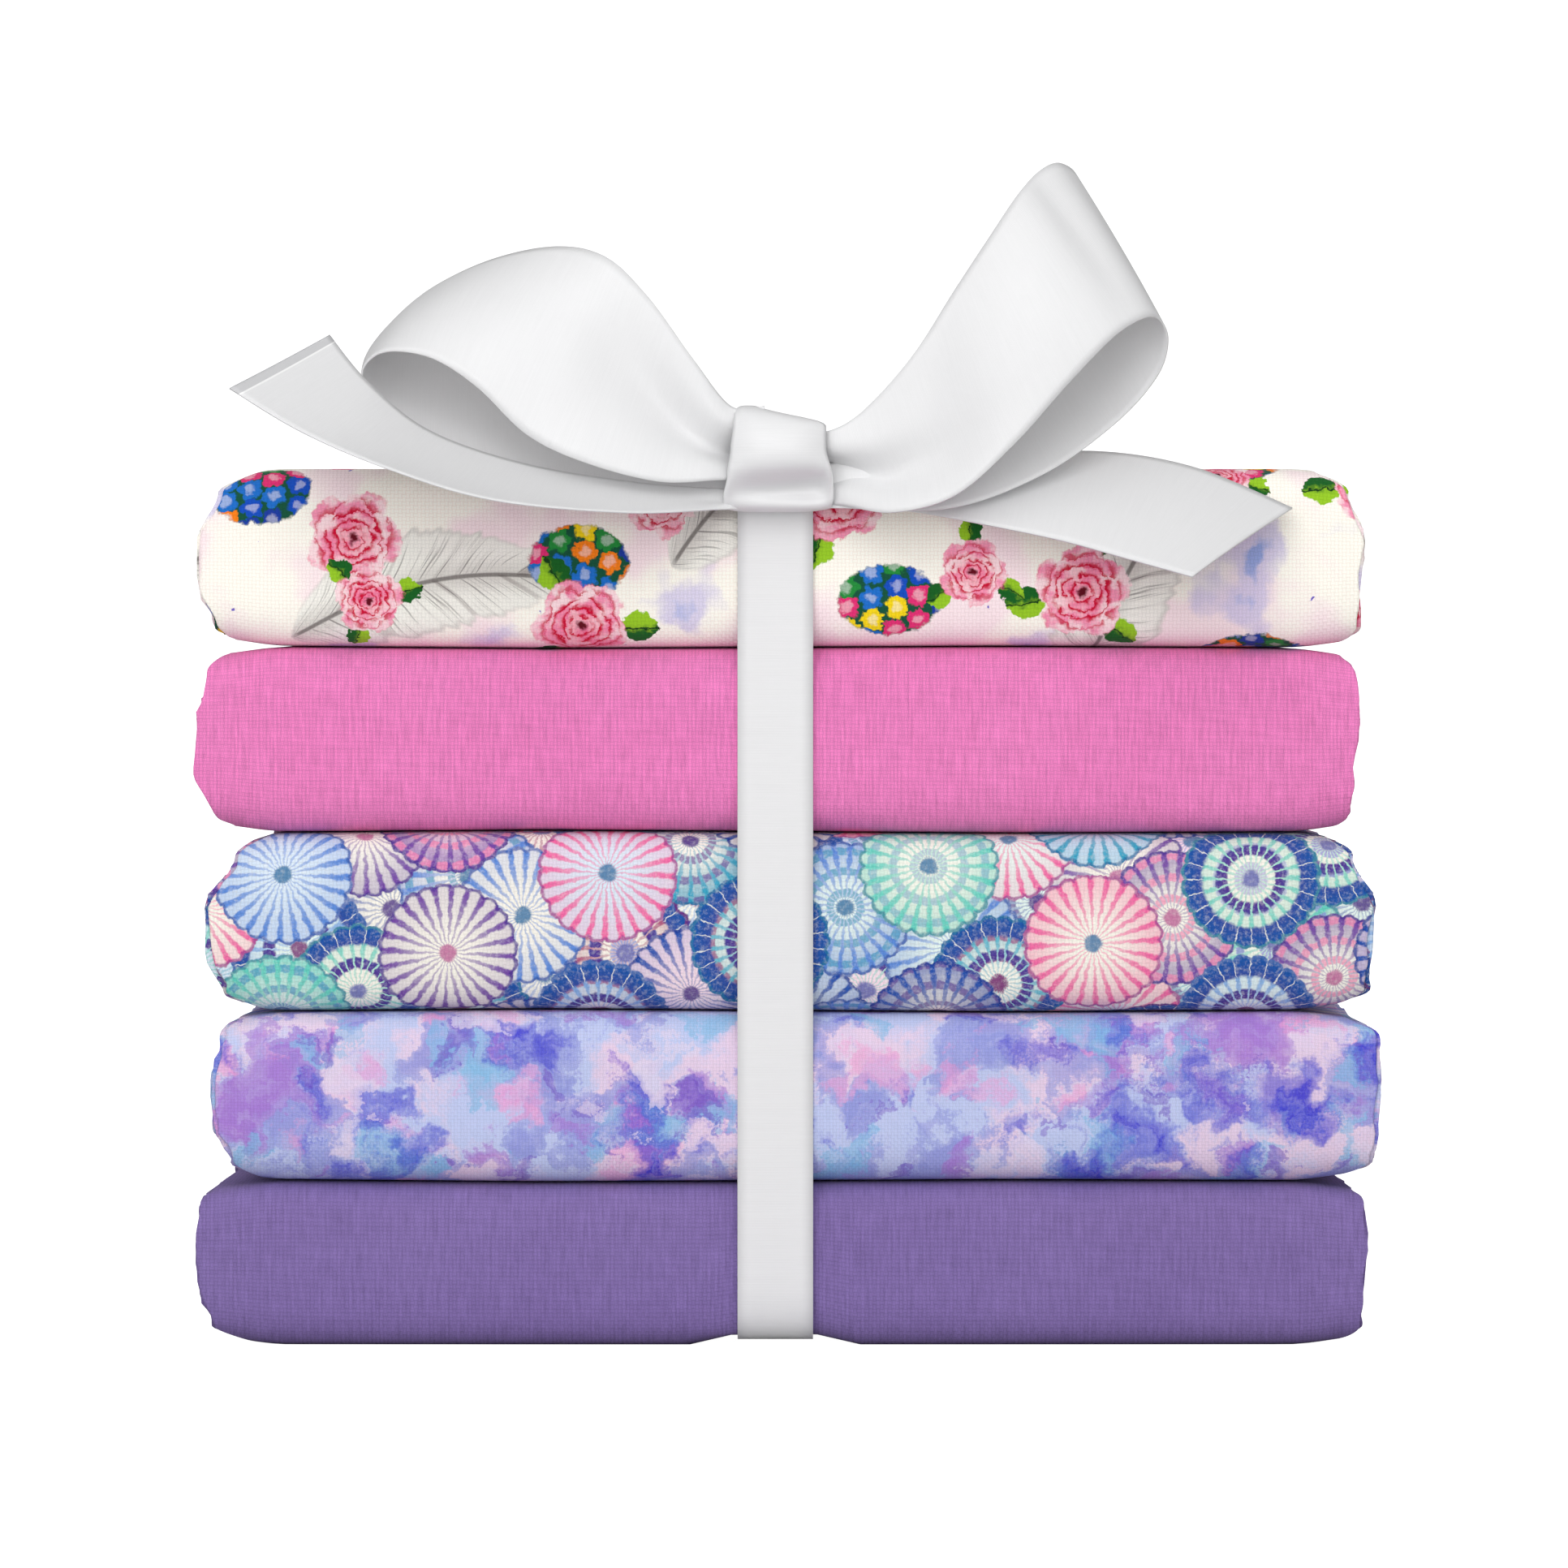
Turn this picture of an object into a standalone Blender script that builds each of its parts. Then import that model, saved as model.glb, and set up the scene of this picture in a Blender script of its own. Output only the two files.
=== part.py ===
"""Five folded cotton cuts in a stack, tied with a satin ribbon that ends in a bow.

The frame is in metres, +Z up, with the origin under the middle of the footprint.
The folded fronts and the bow face -Y. Sizes in the tables are millimetres.
"""

from collections import namedtuple
import math

import bpy
from mathutils import Vector

MM = 0.001

# The folded cuts
CLOTH_THICK = 2.0
PACKET_DEPTH = 140.0
HALVINGS = 3
NOSE_REACH = 8.4
NOSE_POWER = 3.4
BACK_STAGGER = 1.1
FREE_END_SHORT = 2.6
PACKET_GAP = 0.3
END_DROOP = 1.1
END_DROOP_REACH = 11.0
FRONT_RECESS = 0.9
HALF_WIDTH = 76.0
NEAR_END_STEPS = (3.0, 9.0)
INNER_STATIONS = (-32.0, 28.0)
PLY_STEPS = 2

# The ribbon
RIBBON_THICK = 1.0
RIBBON_GAP = 0.3
BAND_MIDDLE = -1.6
BAND_WIDTH = 9.8
CHANNEL_MARGIN = 0.5
CHANNEL_SHOULDER = 3.0
BACK_CORNER = 3.0
SATIN = (0.82, 0.82, 0.83)

# The knot
KNOT_BACK_TO_FRONT = 13.6
KNOT_MIDDLE_Y = -3.7
KNOT_POWER = 2.4
KNOT_SIDES = 20

STRIP_STEPS = 3
STRIP_ACROSS = 4

# Heights at which the cuts meet, at four places from left to right
Meeting = namedtuple("Meeting", "far_left left right far_right")
MEETING_PLACES = (-80.0, -32.0, 28.0, 80.0)
MEETINGS = (
    Meeting(0.0, 0.0, 0.0, 0.0),
    Meeting(21.6, 21.2, 21.5, 21.3),
    Meeting(43.3, 43.7, 43.3, 43.6),
    Meeting(66.6, 67.0, 66.6, 66.8),
    Meeting(91.0, 90.6, 90.9, 90.6),
    Meeting(114.0, 114.0, 114.0, 114.0),
)
# Share of a cut's height at which its two ends are given
END_SHARES = (0.0, 0.08, 0.3, 0.6, 0.9, 1.0)

Cut = namedtuple("Cut", "name colour front back phase left right")
CUTS = (
    Cut("cloth_violet", (0.21, 0.14, 0.38), 0.5, 0.0, 0.4,
        (-69.5, -74.9, -76.5, -77.2, -76.4, -74.6),
        (71.8, 74.7, 74.8, 75.4, 75.1, 73.6)),
    Cut("cloth_clouded", (0.48, 0.46, 0.80), 0.0, 1.2, 1.7,
        (-68.8, -72.5, -74.7, -75.1, -73.7, -71.8),
        (72.4, 76.3, 76.7, 77.2, 76.9, 73.1)),
    Cut("cloth_rosette", (0.45, 0.58, 0.72), 0.6, 0.3, 3.1,
        (-68.4, -73.5, -75.5, -75.8, -71.9, -67.6),
        (71.5, 75.6, 75.8, 76.5, 73.4, 70.2)),
    Cut("cloth_pink", (0.80, 0.22, 0.50), 0.2, 0.9, 4.4,
        (-71.6, -74.8, -77.2, -76.8, -75.3, -72.7),
        (71.0, 73.2, 73.5, 74.4, 73.8, 71.5)),
    Cut("cloth_floral", (0.86, 0.78, 0.70), 0.4, 0.0, 5.6,
        (-72.2, -74.6, -76.6, -76.7, -73.9, -68.4),
        (72.1, 74.4, 74.4, 75.1, 72.8, 68.3)),
)

# One row for each section of a ribbon strip: its far edge and its near edge as they are seen
# from the front, the distance of its middle from the stack's front, how far the far edge lies
# behind the near one, and how far the middle bulges out of the bow.
Row = namedtuple("Row", "far_x far_z near_x near_z middle_y lean bulge")
LEFT_LOOP = (
    Row(-7.4, 121.2, -8.6, 112.4, -7.0, 2.0, 1.0),
    Row(-12.2, 127.5, -16.5, 112.2, -8.4, 3.0, -0.5),
    Row(-18.0, 135.0, -26.0, 114.6, -8.4, 4.0, -0.8),
    Row(-23.5, 140.8, -33.6, 118.2, -7.2, 5.0, 0.6),
    Row(-30.0, 142.7, -40.0, 124.3, -5.0, 9.0, 1.4),
    Row(-38.5, 141.1, -45.6, 128.0, -2.0, 14.0, 1.4),
    Row(-46.5, 137.4, -50.5, 129.1, 1.2, 17.5, 1.0),
    Row(-52.0, 132.8, -53.6, 128.4, 4.0, 19.5, 0.5),
    Row(-54.2, 130.6, -55.1, 125.8, 6.2, 20.0, 0.3),
    Row(-52.4, 129.9, -52.7, 121.4, 6.4, 19.5, 0.5),
    Row(-44.6, 127.6, -44.2, 117.0, 5.2, 18.0, 1.0),
    Row(-32.5, 122.2, -31.6, 114.8, 2.6, 14.5, 1.0),
    Row(-19.5, 118.2, -19.2, 113.4, -0.8, 8.5, 0.6),
    Row(-8.1, 117.2, -8.6, 112.6, -3.4, 2.0, 0.0),
)
RIGHT_LOOP = (
    Row(5.7, 118.9, 6.7, 109.0, -7.8, 1.5, 1.0),
    Row(10.2, 121.8, 13.5, 108.2, -9.2, 3.0, -0.4),
    Row(16.2, 128.6, 21.6, 110.4, -10.6, 4.0, -0.8),
    Row(21.6, 137.0, 29.2, 117.0, -11.2, 4.5, 0.8),
    Row(26.2, 144.0, 36.2, 124.8, -10.8, 5.0, 1.4),
    Row(29.8, 149.4, 41.8, 130.6, -9.4, 6.0, 1.2),
    Row(32.6, 152.6, 45.6, 133.2, -7.0, 7.0, 0.8),
    Row(35.4, 153.5, 48.0, 133.2, -3.8, 7.5, 0.4),
    Row(37.8, 151.2, 49.2, 130.4, -0.6, 8.0, 0.3),
    Row(38.0, 144.0, 47.8, 125.8, 2.0, 9.0, 0.6),
    Row(34.0, 134.6, 42.4, 119.8, 3.0, 12.0, 1.0),
    Row(27.2, 126.0, 33.0, 113.2, -0.6, 11.0, 1.0),
    Row(17.6, 119.4, 21.0, 108.8, -5.4, 5.0, 0.6),
    Row(6.5, 114.8, 6.7, 108.8, -4.9, 1.6, 0.0),
)
LEFT_TAIL = (
    Row(-8.5, 111.2, -8.8, 108.6, -6.4, 2.5, 0.0),
    Row(-20.5, 112.2, -21.0, 108.2, -9.2, 7.5, -0.4),
    Row(-34.4, 114.6, -38.0, 109.8, -11.0, 12.5, -0.6),
    Row(-46.4, 118.8, -51.4, 113.8, -12.8, 14.2, -0.6),
    Row(-54.2, 125.0, -62.6, 118.6, -13.9, 14.8, -0.4),
    Row(-59.3, 131.2, -71.7, 124.1, -13.4, 15.6, -0.2),
)
RIGHT_TAIL = (
    Row(6.2, 112.8, 6.2, 109.2, -1.4, 1.0, 0.0),
    Row(15.7, 113.6, 15.7, 108.4, -1.2, 2.0, 0.2),
    Row(27.3, 115.0, 24.7, 106.8, -1.6, 6.5, 0.6),
    Row(39.4, 116.2, 35.2, 104.6, -3.6, 13.5, 0.8),
    Row(52.4, 114.2, 44.6, 102.0, -6.2, 15.0, 0.6),
    Row(65.4, 108.8, 52.1, 99.9, -9.6, 14.5, 0.3),
)

# Outline of the knot's front, as (left, right) at each height
KNOT_HEIGHTS = (108.4, 110.0, 113.0, 116.5, 119.4, 122.0)
KNOT_LEFT = (-8.6, -8.3, -7.8, -7.3, -7.0, -6.7)
KNOT_RIGHT = (5.6, 5.9, 5.8, 4.9, 4.9, -3.5)


def smooth_step(share):
    share = min(max(share, 0.0), 1.0)
    return share * share * (3 - 2 * share)


def between(table, knots, place):
    """A smooth curve through a table's values, given where each value belongs."""
    if place <= knots[0]:
        return table[0]
    for i in range(len(knots) - 1):
        if place <= knots[i + 1]:
            share = (place - knots[i]) / (knots[i + 1] - knots[i])
            return table[i] + (table[i + 1] - table[i]) * smooth_step(share)
    return table[-1]


def ply_levels(halvings):
    """The level, counted from below, of each ply along a strip folded in half this often."""
    columns = [[ply] for ply in range(2 ** halvings)]
    while len(columns) > 1:
        half = len(columns) // 2
        turned = columns[:half - 1:-1]
        columns = [low + high[::-1] for low, high in zip(columns[:half], turned)]
    return [columns[0].index(ply) for ply in range(2 ** halvings)]


def squared_arc(turn, power):
    """The unit curve of a fold at an angle: how far out it is, and how far up."""
    out = math.cos(turn)
    up = math.sin(turn)
    return (
        math.copysign(abs(out) ** (2 / power), out),
        math.copysign(abs(up) ** (2 / power), up),
    )


def strip_section(cut):
    """The path of one folded cut, seen from its end.

    Each point is its distance behind the stack's front and its level as a share, 0 for the
    lowest ply and 1 for the highest.
    """
    levels = ply_levels(HALVINGS)
    top = len(levels) - 1
    front_middle = cut.front + NOSE_REACH + CLOTH_THICK / 2
    back_reach = top * 0.5 * 0.42
    path = []
    for ply, level in enumerate(levels):
        last = ply == top
        towards_front = ply % 2 == 0
        partner = level if last else levels[ply + 1]
        middle = (level + partner) / 2
        half = abs(partner - level) / 2
        back_middle = back_line(cut, middle)
        if ply == 0:
            path.append((back_line(cut, 0) + back_reach - FREE_END_SHORT, level / top))
        start = path[-1][0]
        if last:
            end = back_line(cut, level) + back_reach - FREE_END_SHORT * 0.7
        else:
            end = front_middle if towards_front else back_middle
        for step in range(1, PLY_STEPS + 1):
            path.append((start + (end - start) * step / PLY_STEPS, level / top))
        if last:
            break
        rising = 1 if partner > level else -1
        steps = 3 + round(half * 2)
        for step in range(1, steps + 1):
            turn = math.pi * step / steps - math.pi / 2
            out, up = squared_arc(turn, NOSE_POWER if towards_front else 2.0)
            if towards_front:
                y = front_middle - out * NOSE_REACH * half / (top / 2)
            else:
                y = back_middle + out * half * back_pitch()
            path.append((y, (middle + rising * up * half) / top))
    return path


def back_pitch():
    """How far apart two plies are where they turn at the back."""
    height = (MEETINGS[-1].left - PACKET_GAP * 4) / len(CUTS)
    return (height - CLOTH_THICK) / (2 ** HALVINGS - 1)


def back_line(cut, middle):
    """Where the folds around this level start to turn at the back."""
    widest = 1.5 * back_pitch() + CLOTH_THICK / 2
    stagger = BACK_STAGGER * (1 + math.sin(2.3 * middle + cut.phase)) / 2
    return PACKET_DEPTH - widest - cut.back - stagger


def channel(x):
    """How far the lowest cut is lifted where the ribbon runs under it."""
    off = abs(x - BAND_MIDDLE) - BAND_WIDTH / 2 - CHANNEL_MARGIN
    return (RIBBON_THICK + RIBBON_GAP) * (1 - smooth_step(off / CHANNEL_SHOULDER))


def meeting(number, x):
    """The height of the surface between two cuts, of the table or of the stack's top."""
    places = MEETING_PLACES
    heights = MEETINGS[number]
    i = sum(x > place for place in places[1:-1])
    share = (x - places[i]) / (places[i + 1] - places[i])
    return heights[i] + (heights[i + 1] - heights[i]) * share


def droop(x):
    """How far a cut's top and bottom draw in near its two ends."""
    from_end = HALF_WIDTH - abs(x)
    return END_DROOP * (1 - smooth_step(from_end / END_DROOP_REACH))


def cut_limits(number, x):
    """The heights of a cut's lowest and highest ply, each at the middle of the cloth."""
    low = meeting(number, x) + droop(x) + CLOTH_THICK / 2
    high = meeting(number + 1, x) - droop(x) - CLOTH_THICK / 2
    low += channel(x) if number == 0 else PACKET_GAP / 2
    high -= 0 if number == len(CUTS) - 1 else PACKET_GAP / 2
    return low, high


def end_wave(cut, y, share):
    """The unevenness of a cut's end, behind the outline that is seen from the front."""
    depth = smooth_step(y / 30)
    return depth * (0.7 + 0.7 * math.sin(y / 17 + 9 * share + cut.phase))


def stations(cut, y, share):
    """Where a cut is sampled from its left end to its right end."""
    inset = end_wave(cut, y, share)
    left = between(cut.left, END_SHARES, share) + inset
    right = between(cut.right, END_SHARES, share) - inset
    near_left = [left + step for step in NEAR_END_STEPS]
    near_right = [right - step for step in NEAR_END_STEPS[::-1]]
    return [left, *near_left, *inner_stations(cut), *near_right, right]


def inner_stations(cut):
    if cut is not CUTS[0]:
        return INNER_STATIONS
    floor = BAND_WIDTH / 2 + CHANNEL_MARGIN
    shoulder = floor + CHANNEL_SHOULDER
    across = (-shoulder, -floor, floor, shoulder)
    return (INNER_STATIONS[0], *(BAND_MIDDLE + x for x in across), INNER_STATIONS[-1])


def front_recess(x, y):
    """The front bows: it stands furthest forward at the ribbon."""
    return FRONT_RECESS * (abs(x) / HALF_WIDTH) ** 2.5 * (1 - y / PACKET_DEPTH)


def sheet_object(name, grid, thick, colour, closed=False, roughness=0.9):
    """A sheet through a grid of points, given its thickness by Solidify."""
    rows = len(grid)
    columns = len(grid[0])
    points = [Vector(point) * MM for row in grid for point in row]
    faces = []
    for i in range(rows if closed else rows - 1):
        for j in range(columns - 1):
            here = i * columns + j
            there = (i + 1) % rows * columns + j
            faces.append((here, there, there + 1, here + 1))
    mesh = bpy.data.meshes.new(name)
    mesh.from_pydata(points, [], faces)
    mesh.shade_smooth()
    piece = bpy.data.objects.new(name, mesh)
    bpy.context.scene.collection.objects.link(piece)
    solid = piece.modifiers.new("Thickness", "SOLIDIFY")
    solid.thickness = thick * MM
    solid.offset = 0
    solid.use_even_offset = False
    piece.data.materials.append(finish(name, colour, roughness))
    return piece


def finish(name, colour, roughness):
    material = bpy.data.materials.new(name)
    material.use_nodes = True
    shader = material.node_tree.nodes["Principled BSDF"]
    shader.inputs["Base Color"].default_value = (*colour, 1)
    shader.inputs["Roughness"].default_value = roughness
    shader.inputs["Metallic"].default_value = 0
    return material


def folded_cut(number, cut):
    grid = []
    for y, share in strip_section(cut):
        row = []
        for x in stations(cut, y, share):
            low, high = cut_limits(number, x)
            row.append((x, y + front_recess(x, y), low + (high - low) * share))
        grid.append(row)
    return sheet_object(cut.name, grid, CLOTH_THICK, cut.colour)


def nose_outline(low, high, front, beyond):
    """The front of a cut from its lowest to its highest point, this far outside the cloth."""
    middle = (low + high) / 2
    half = (high - low) / 2 + CLOTH_THICK / 2 + beyond
    reach = NOSE_REACH + CLOTH_THICK / 2 + beyond
    steps = 16
    outline = []
    for step in range(steps + 1):
        out, up = squared_arc(math.pi * step / steps - math.pi / 2, NOSE_POWER)
        centre = front + NOSE_REACH + CLOTH_THICK / 2
        outline.append((centre - out * reach, middle + up * half))
    return outline


def band_path(beyond):
    """Once round the stack in the plane across the ribbon, this far outside the cloth."""
    front = min(cut.front for cut in CUTS) - beyond
    lowest = nose_outline(*cut_limits(0, BAND_MIDDLE), CUTS[0].front, beyond)
    highest = nose_outline(*cut_limits(len(CUTS) - 1, BAND_MIDDLE), CUTS[-1].front, beyond)
    half = len(lowest) // 2
    path = [*lowest[:half], (front, lowest[half][1]), (front, highest[half][1]), *highest[half + 1:]]
    back = PACKET_DEPTH + beyond
    top = path[-1][1]
    bottom = path[0][1]
    radius = 1.5 * back_pitch() + CLOTH_THICK / 2 + beyond
    steps = 5
    for step in range(steps + 1):
        turn = math.pi / 2 * (1 - step / steps)
        path.append((back - radius * (1 - math.cos(turn)), top - radius * (1 - math.sin(turn))))
    for step in range(steps + 1):
        turn = -math.pi / 2 * step / steps
        y = back - BACK_CORNER * (1 - math.cos(turn))
        path.append((y, bottom + BACK_CORNER * (1 + math.sin(turn))))
    return path


def ribbon_band():
    half = BAND_WIDTH / 2
    across = (-half, 0, half)
    path = band_path(RIBBON_GAP + RIBBON_THICK / 2)
    grid = [[(BAND_MIDDLE + x, y, z) for x in across] for y, z in path[::-1]]
    return sheet_object("ribbon_band", grid, RIBBON_THICK, SATIN, True, 0.45)


def curve_between(before, start, end, after, share):
    """A point on the smooth curve from start to end (Catmull-Rom)."""
    return 0.5 * (
        2 * start
        + (end - before) * share
        + (2 * before - 5 * start + 4 * end - after) * share ** 2
        + (3 * start - before - 3 * end + after) * share ** 3
    )


def smooth_rows(rows, steps):
    """The table's rows with smooth ones between them."""
    found = []
    for i in range(len(rows) - 1):
        around = [rows[min(max(k, 0), len(rows) - 1)] for k in range(i - 1, i + 3)]
        for step in range(steps):
            found.append(Row(*(curve_between(*four, step / steps) for four in zip(*around))))
    return [*found, rows[-1]]


def ribbon_strip(name, rows, turned):
    """A strip of ribbon between the far and the near edge that its table gives."""
    rows = smooth_rows(rows, STRIP_STEPS)
    edges = [strip_edges(row) for row in rows]
    grid = []
    for i, (far, near) in enumerate(edges):
        before = edges[max(i - 1, 0)]
        after = edges[min(i + 1, len(edges) - 1)]
        outward = (sum(before, Vector()) - sum(after, Vector())).cross(far - near).normalized()
        if turned:
            outward.negate()
        line = []
        for step in range(STRIP_ACROSS + 1):
            share = step / STRIP_ACROSS
            rise = rows[i].bulge * 4 * share * (1 - share)
            line.append(tuple(far.lerp(near, share) + outward * rise))
        grid.append(line[::-1] if turned else line)
    return sheet_object(name, grid, RIBBON_THICK, SATIN, False, 0.45)


def strip_edges(row):
    far = Vector((row.far_x, row.middle_y + row.lean / 2, row.far_z))
    near = Vector((row.near_x, row.middle_y - row.lean / 2, row.near_z))
    return far, near


def knot():
    """The turn of ribbon over the bow's middle, hollowed where it sits on the band."""
    name = "bow_knot"
    low = KNOT_HEIGHTS[0]
    high = KNOT_HEIGHTS[-1]
    middle = (low + high) / 2
    shares = (0.0, 0.12, 0.5, 0.88, 1.0)
    swell = (0.9, 0.98, 1.0, 0.98, 0.9)
    points = []
    for share, size in zip(shares, swell):
        for side in range(KNOT_SIDES):
            out, up = squared_arc(2 * math.pi * side / KNOT_SIDES, KNOT_POWER)
            z = middle + up * (high - low) / 2 * size
            left = between(KNOT_LEFT, KNOT_HEIGHTS, z)
            right = between(KNOT_RIGHT, KNOT_HEIGHTS, z)
            y = KNOT_MIDDLE_Y + out * KNOT_BACK_TO_FRONT / 2 * size
            points.append(Vector((left + (right - left) * share, y, z)) * MM)
    faces = []
    for ring in range(len(shares) - 1):
        for side in range(KNOT_SIDES):
            after = (side + 1) % KNOT_SIDES
            start = ring * KNOT_SIDES
            faces.append((start + side, start + after, start + KNOT_SIDES + after,
                          start + KNOT_SIDES + side))
    faces.append(tuple(range(KNOT_SIDES))[::-1])
    faces.append(tuple(range((len(shares) - 1) * KNOT_SIDES, len(shares) * KNOT_SIDES)))
    mesh = bpy.data.meshes.new(name)
    mesh.from_pydata(points, [], faces)
    mesh.shade_smooth()
    piece = bpy.data.objects.new(name, mesh)
    bpy.context.scene.collection.objects.link(piece)
    piece.data.materials.append(finish(name, SATIN, 0.45))
    seat = piece.modifiers.new("Seat on the band", "BOOLEAN")
    seat.operation = "DIFFERENCE"
    seat.solver = "EXACT"
    seat.object = knot_cutter()
    return piece


def knot_cutter():
    """What the knot is kept clear of: the band where it turns over the stack's front edge."""
    name = "cutter_band_corner"
    path = band_path(RIBBON_GAP * 2 + RIBBON_THICK)
    inside = [(PACKET_DEPTH / 4, path[0][1]), (PACKET_DEPTH / 4, max(z for _, z in path))]
    front = [point for point in path if point[0] < PACKET_DEPTH / 8]
    outline = [*front, inside[1], inside[0]]
    reach = 20.0
    points = [Vector((x, y, z)) * MM for x in (-reach, reach) for y, z in outline]
    count = len(outline)
    faces = [tuple(range(count)), tuple(range(2 * count - 1, count - 1, -1))]
    for i in range(count):
        after = (i + 1) % count
        faces.append((i, count + i, count + after, after))
    mesh = bpy.data.meshes.new(name)
    mesh.from_pydata(points, [], faces)
    cutter = bpy.data.objects.new(name, mesh)
    bpy.context.scene.collection.objects.link(cutter)
    cutter.hide_render = True
    cutter.display_type = "WIRE"
    return cutter


def main():
    for thing in list(bpy.data.objects):
        bpy.data.objects.remove(thing)
    stack = bpy.data.objects.new("stack", None)
    bpy.context.scene.collection.objects.link(stack)
    for number, cut in enumerate(CUTS):
        folded_cut(number, cut)
    ribbon_band()
    ribbon_strip("bow_loop_left", LEFT_LOOP, False)
    ribbon_strip("bow_loop_right", RIGHT_LOOP, True)
    ribbon_strip("bow_tail_left", LEFT_TAIL, False)
    ribbon_strip("bow_tail_right", RIGHT_TAIL, True)
    knot()
    for piece in bpy.data.objects:
        if piece is not stack:
            piece.parent = stack
    nearest = min(row.middle_y - row.lean / 2 for row in (*RIGHT_TAIL, *LEFT_TAIL)) - RIBBON_THICK / 2
    furthest = PACKET_DEPTH + RIBBON_GAP + RIBBON_THICK
    stack.location.y = -(nearest + furthest) / 2 * MM


main()
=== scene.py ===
"""The fabric bundle's looks: five folded cotton cuts, a satin band and a bow.

Sizes in the tables are millimetres, as in the part's source. The folded fronts face -Y.
"""

from collections import namedtuple
import math
import random

import bpy
import numpy as np
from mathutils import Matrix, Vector


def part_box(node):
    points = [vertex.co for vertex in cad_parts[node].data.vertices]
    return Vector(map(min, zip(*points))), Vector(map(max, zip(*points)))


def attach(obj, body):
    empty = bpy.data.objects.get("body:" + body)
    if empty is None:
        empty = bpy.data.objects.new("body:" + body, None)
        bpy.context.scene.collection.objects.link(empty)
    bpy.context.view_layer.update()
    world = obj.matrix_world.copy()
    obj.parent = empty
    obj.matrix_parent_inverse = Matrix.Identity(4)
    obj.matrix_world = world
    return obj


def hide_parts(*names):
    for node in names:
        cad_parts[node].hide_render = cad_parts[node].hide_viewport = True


MM = 0.001

# The folded cuts, as in the part's source
NOSE_REACH = 9.4
NOSE_POWER = 4.2
PACKET_DEPTH = 140.0
BACK_STAGGER = 1.1
FREE_END_SHORT = 2.6
PACKET_GAP = 0.12
END_DROOP = 1.1
END_DROOP_REACH = 11.0
FRONT_RECESS = 0.9
HALF_WIDTH = 76.0
BAND_MIDDLE = -1.6
BAND_WIDTH = 9.8
CHANNEL_DEPTH = 1.3
CHANNEL_MARGIN = 0.5
CHANNEL_SHOULDER = 3.0

# The real cloth, which is finer than the solids
CLOTH_THICK = 0.30
YARD_CUT = (0.914, 1.118)
THIRDS = 16
PLIES = 3 * THIRDS
EDGE_STEPS = (0.0, 0.25, 0.7, 1.4, 2.4, 3.8, 5.8, 8.5, 12.0)
INNER_STATIONS = 21
RUN_STEPS_SEEN = 14
RUN_STEPS_HIDDEN = 3
FOLD_STEPS = 4
FRONT_STEPS_EACH = 0.9
BACK_STEPS_EACH = 0.35
OUTER_FOLD_STEPS = 24
END_JITTER = 0.4
END_FRAY = 0.18

Meeting = namedtuple("Meeting", "far_left left right far_right")
MEETING_PLACES = (-80.0, -32.0, 28.0, 80.0)
MEETINGS = (
    Meeting(0.0, 0.0, 0.0, 0.0),
    Meeting(21.6, 21.2, 21.5, 21.3),
    Meeting(43.3, 43.7, 43.3, 43.6),
    Meeting(66.6, 67.0, 66.6, 66.8),
    Meeting(91.0, 90.6, 90.9, 90.6),
    Meeting(114.0, 114.0, 114.0, 114.0),
)
END_SHARES = (0.0, 0.08, 0.3, 0.6, 0.9, 1.0)
Cut = namedtuple("Cut", "node slot front back phase left right")
CUTS = (
    Cut("cloth_violet", "violet_cotton", 0.5, 0.0, 0.4,
        (-69.5, -74.9, -76.5, -77.2, -76.4, -74.6),
        (71.8, 74.7, 74.8, 75.4, 75.1, 73.6)),
    Cut("cloth_clouded", "clouded_dye", 0.0, 1.2, 1.7,
        (-68.8, -72.5, -74.7, -75.1, -73.7, -71.8),
        (72.4, 76.3, 76.7, 77.2, 76.9, 73.1)),
    Cut("cloth_rosette", "rosette_print", 0.6, 0.3, 3.1,
        (-68.4, -73.5, -75.5, -75.8, -71.9, -67.6),
        (71.5, 75.6, 75.8, 76.5, 73.4, 70.2)),
    Cut("cloth_pink", "pink_cotton", 0.2, 0.9, 4.4,
        (-71.6, -74.8, -77.2, -76.8, -75.3, -72.7),
        (71.0, 73.2, 73.5, 74.4, 73.8, 71.5)),
    Cut("cloth_floral", "floral_print", 0.4, 0.0, 5.6,
        (-72.2, -74.6, -76.6, -76.7, -73.9, -68.4),
        (72.1, 74.4, 74.4, 75.1, 72.8, 68.3)),
)
TOP_CUT = len(CUTS) - 1

# Where the cloth lies in a baked picture
BAKE_HALF_WIDTH = 78.0
CUT_MARGIN = 0.02
RIBBON_MARGIN = 0.03
RIM_BAKED = 0.012
MIDDLE_STATION = 20
WEIGHTS = namedtuple("Weights", "front outside back hidden")(7.0, 1.4, 0.25, 0.04)
FAR_AWAY = 1e9

# The ribbon
RIBBON_THICK = 0.25
RIBBON_WIDE = 19.0
SATIN_PITCH = 0.22
HEM_DEEP = 1.3
HEM_LINE = 1.35
BAND_STANDS_OFF = 0.45
BACK_CORNER_TOP = 5.5
BACK_CORNER_FOOT = 3.0

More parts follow.
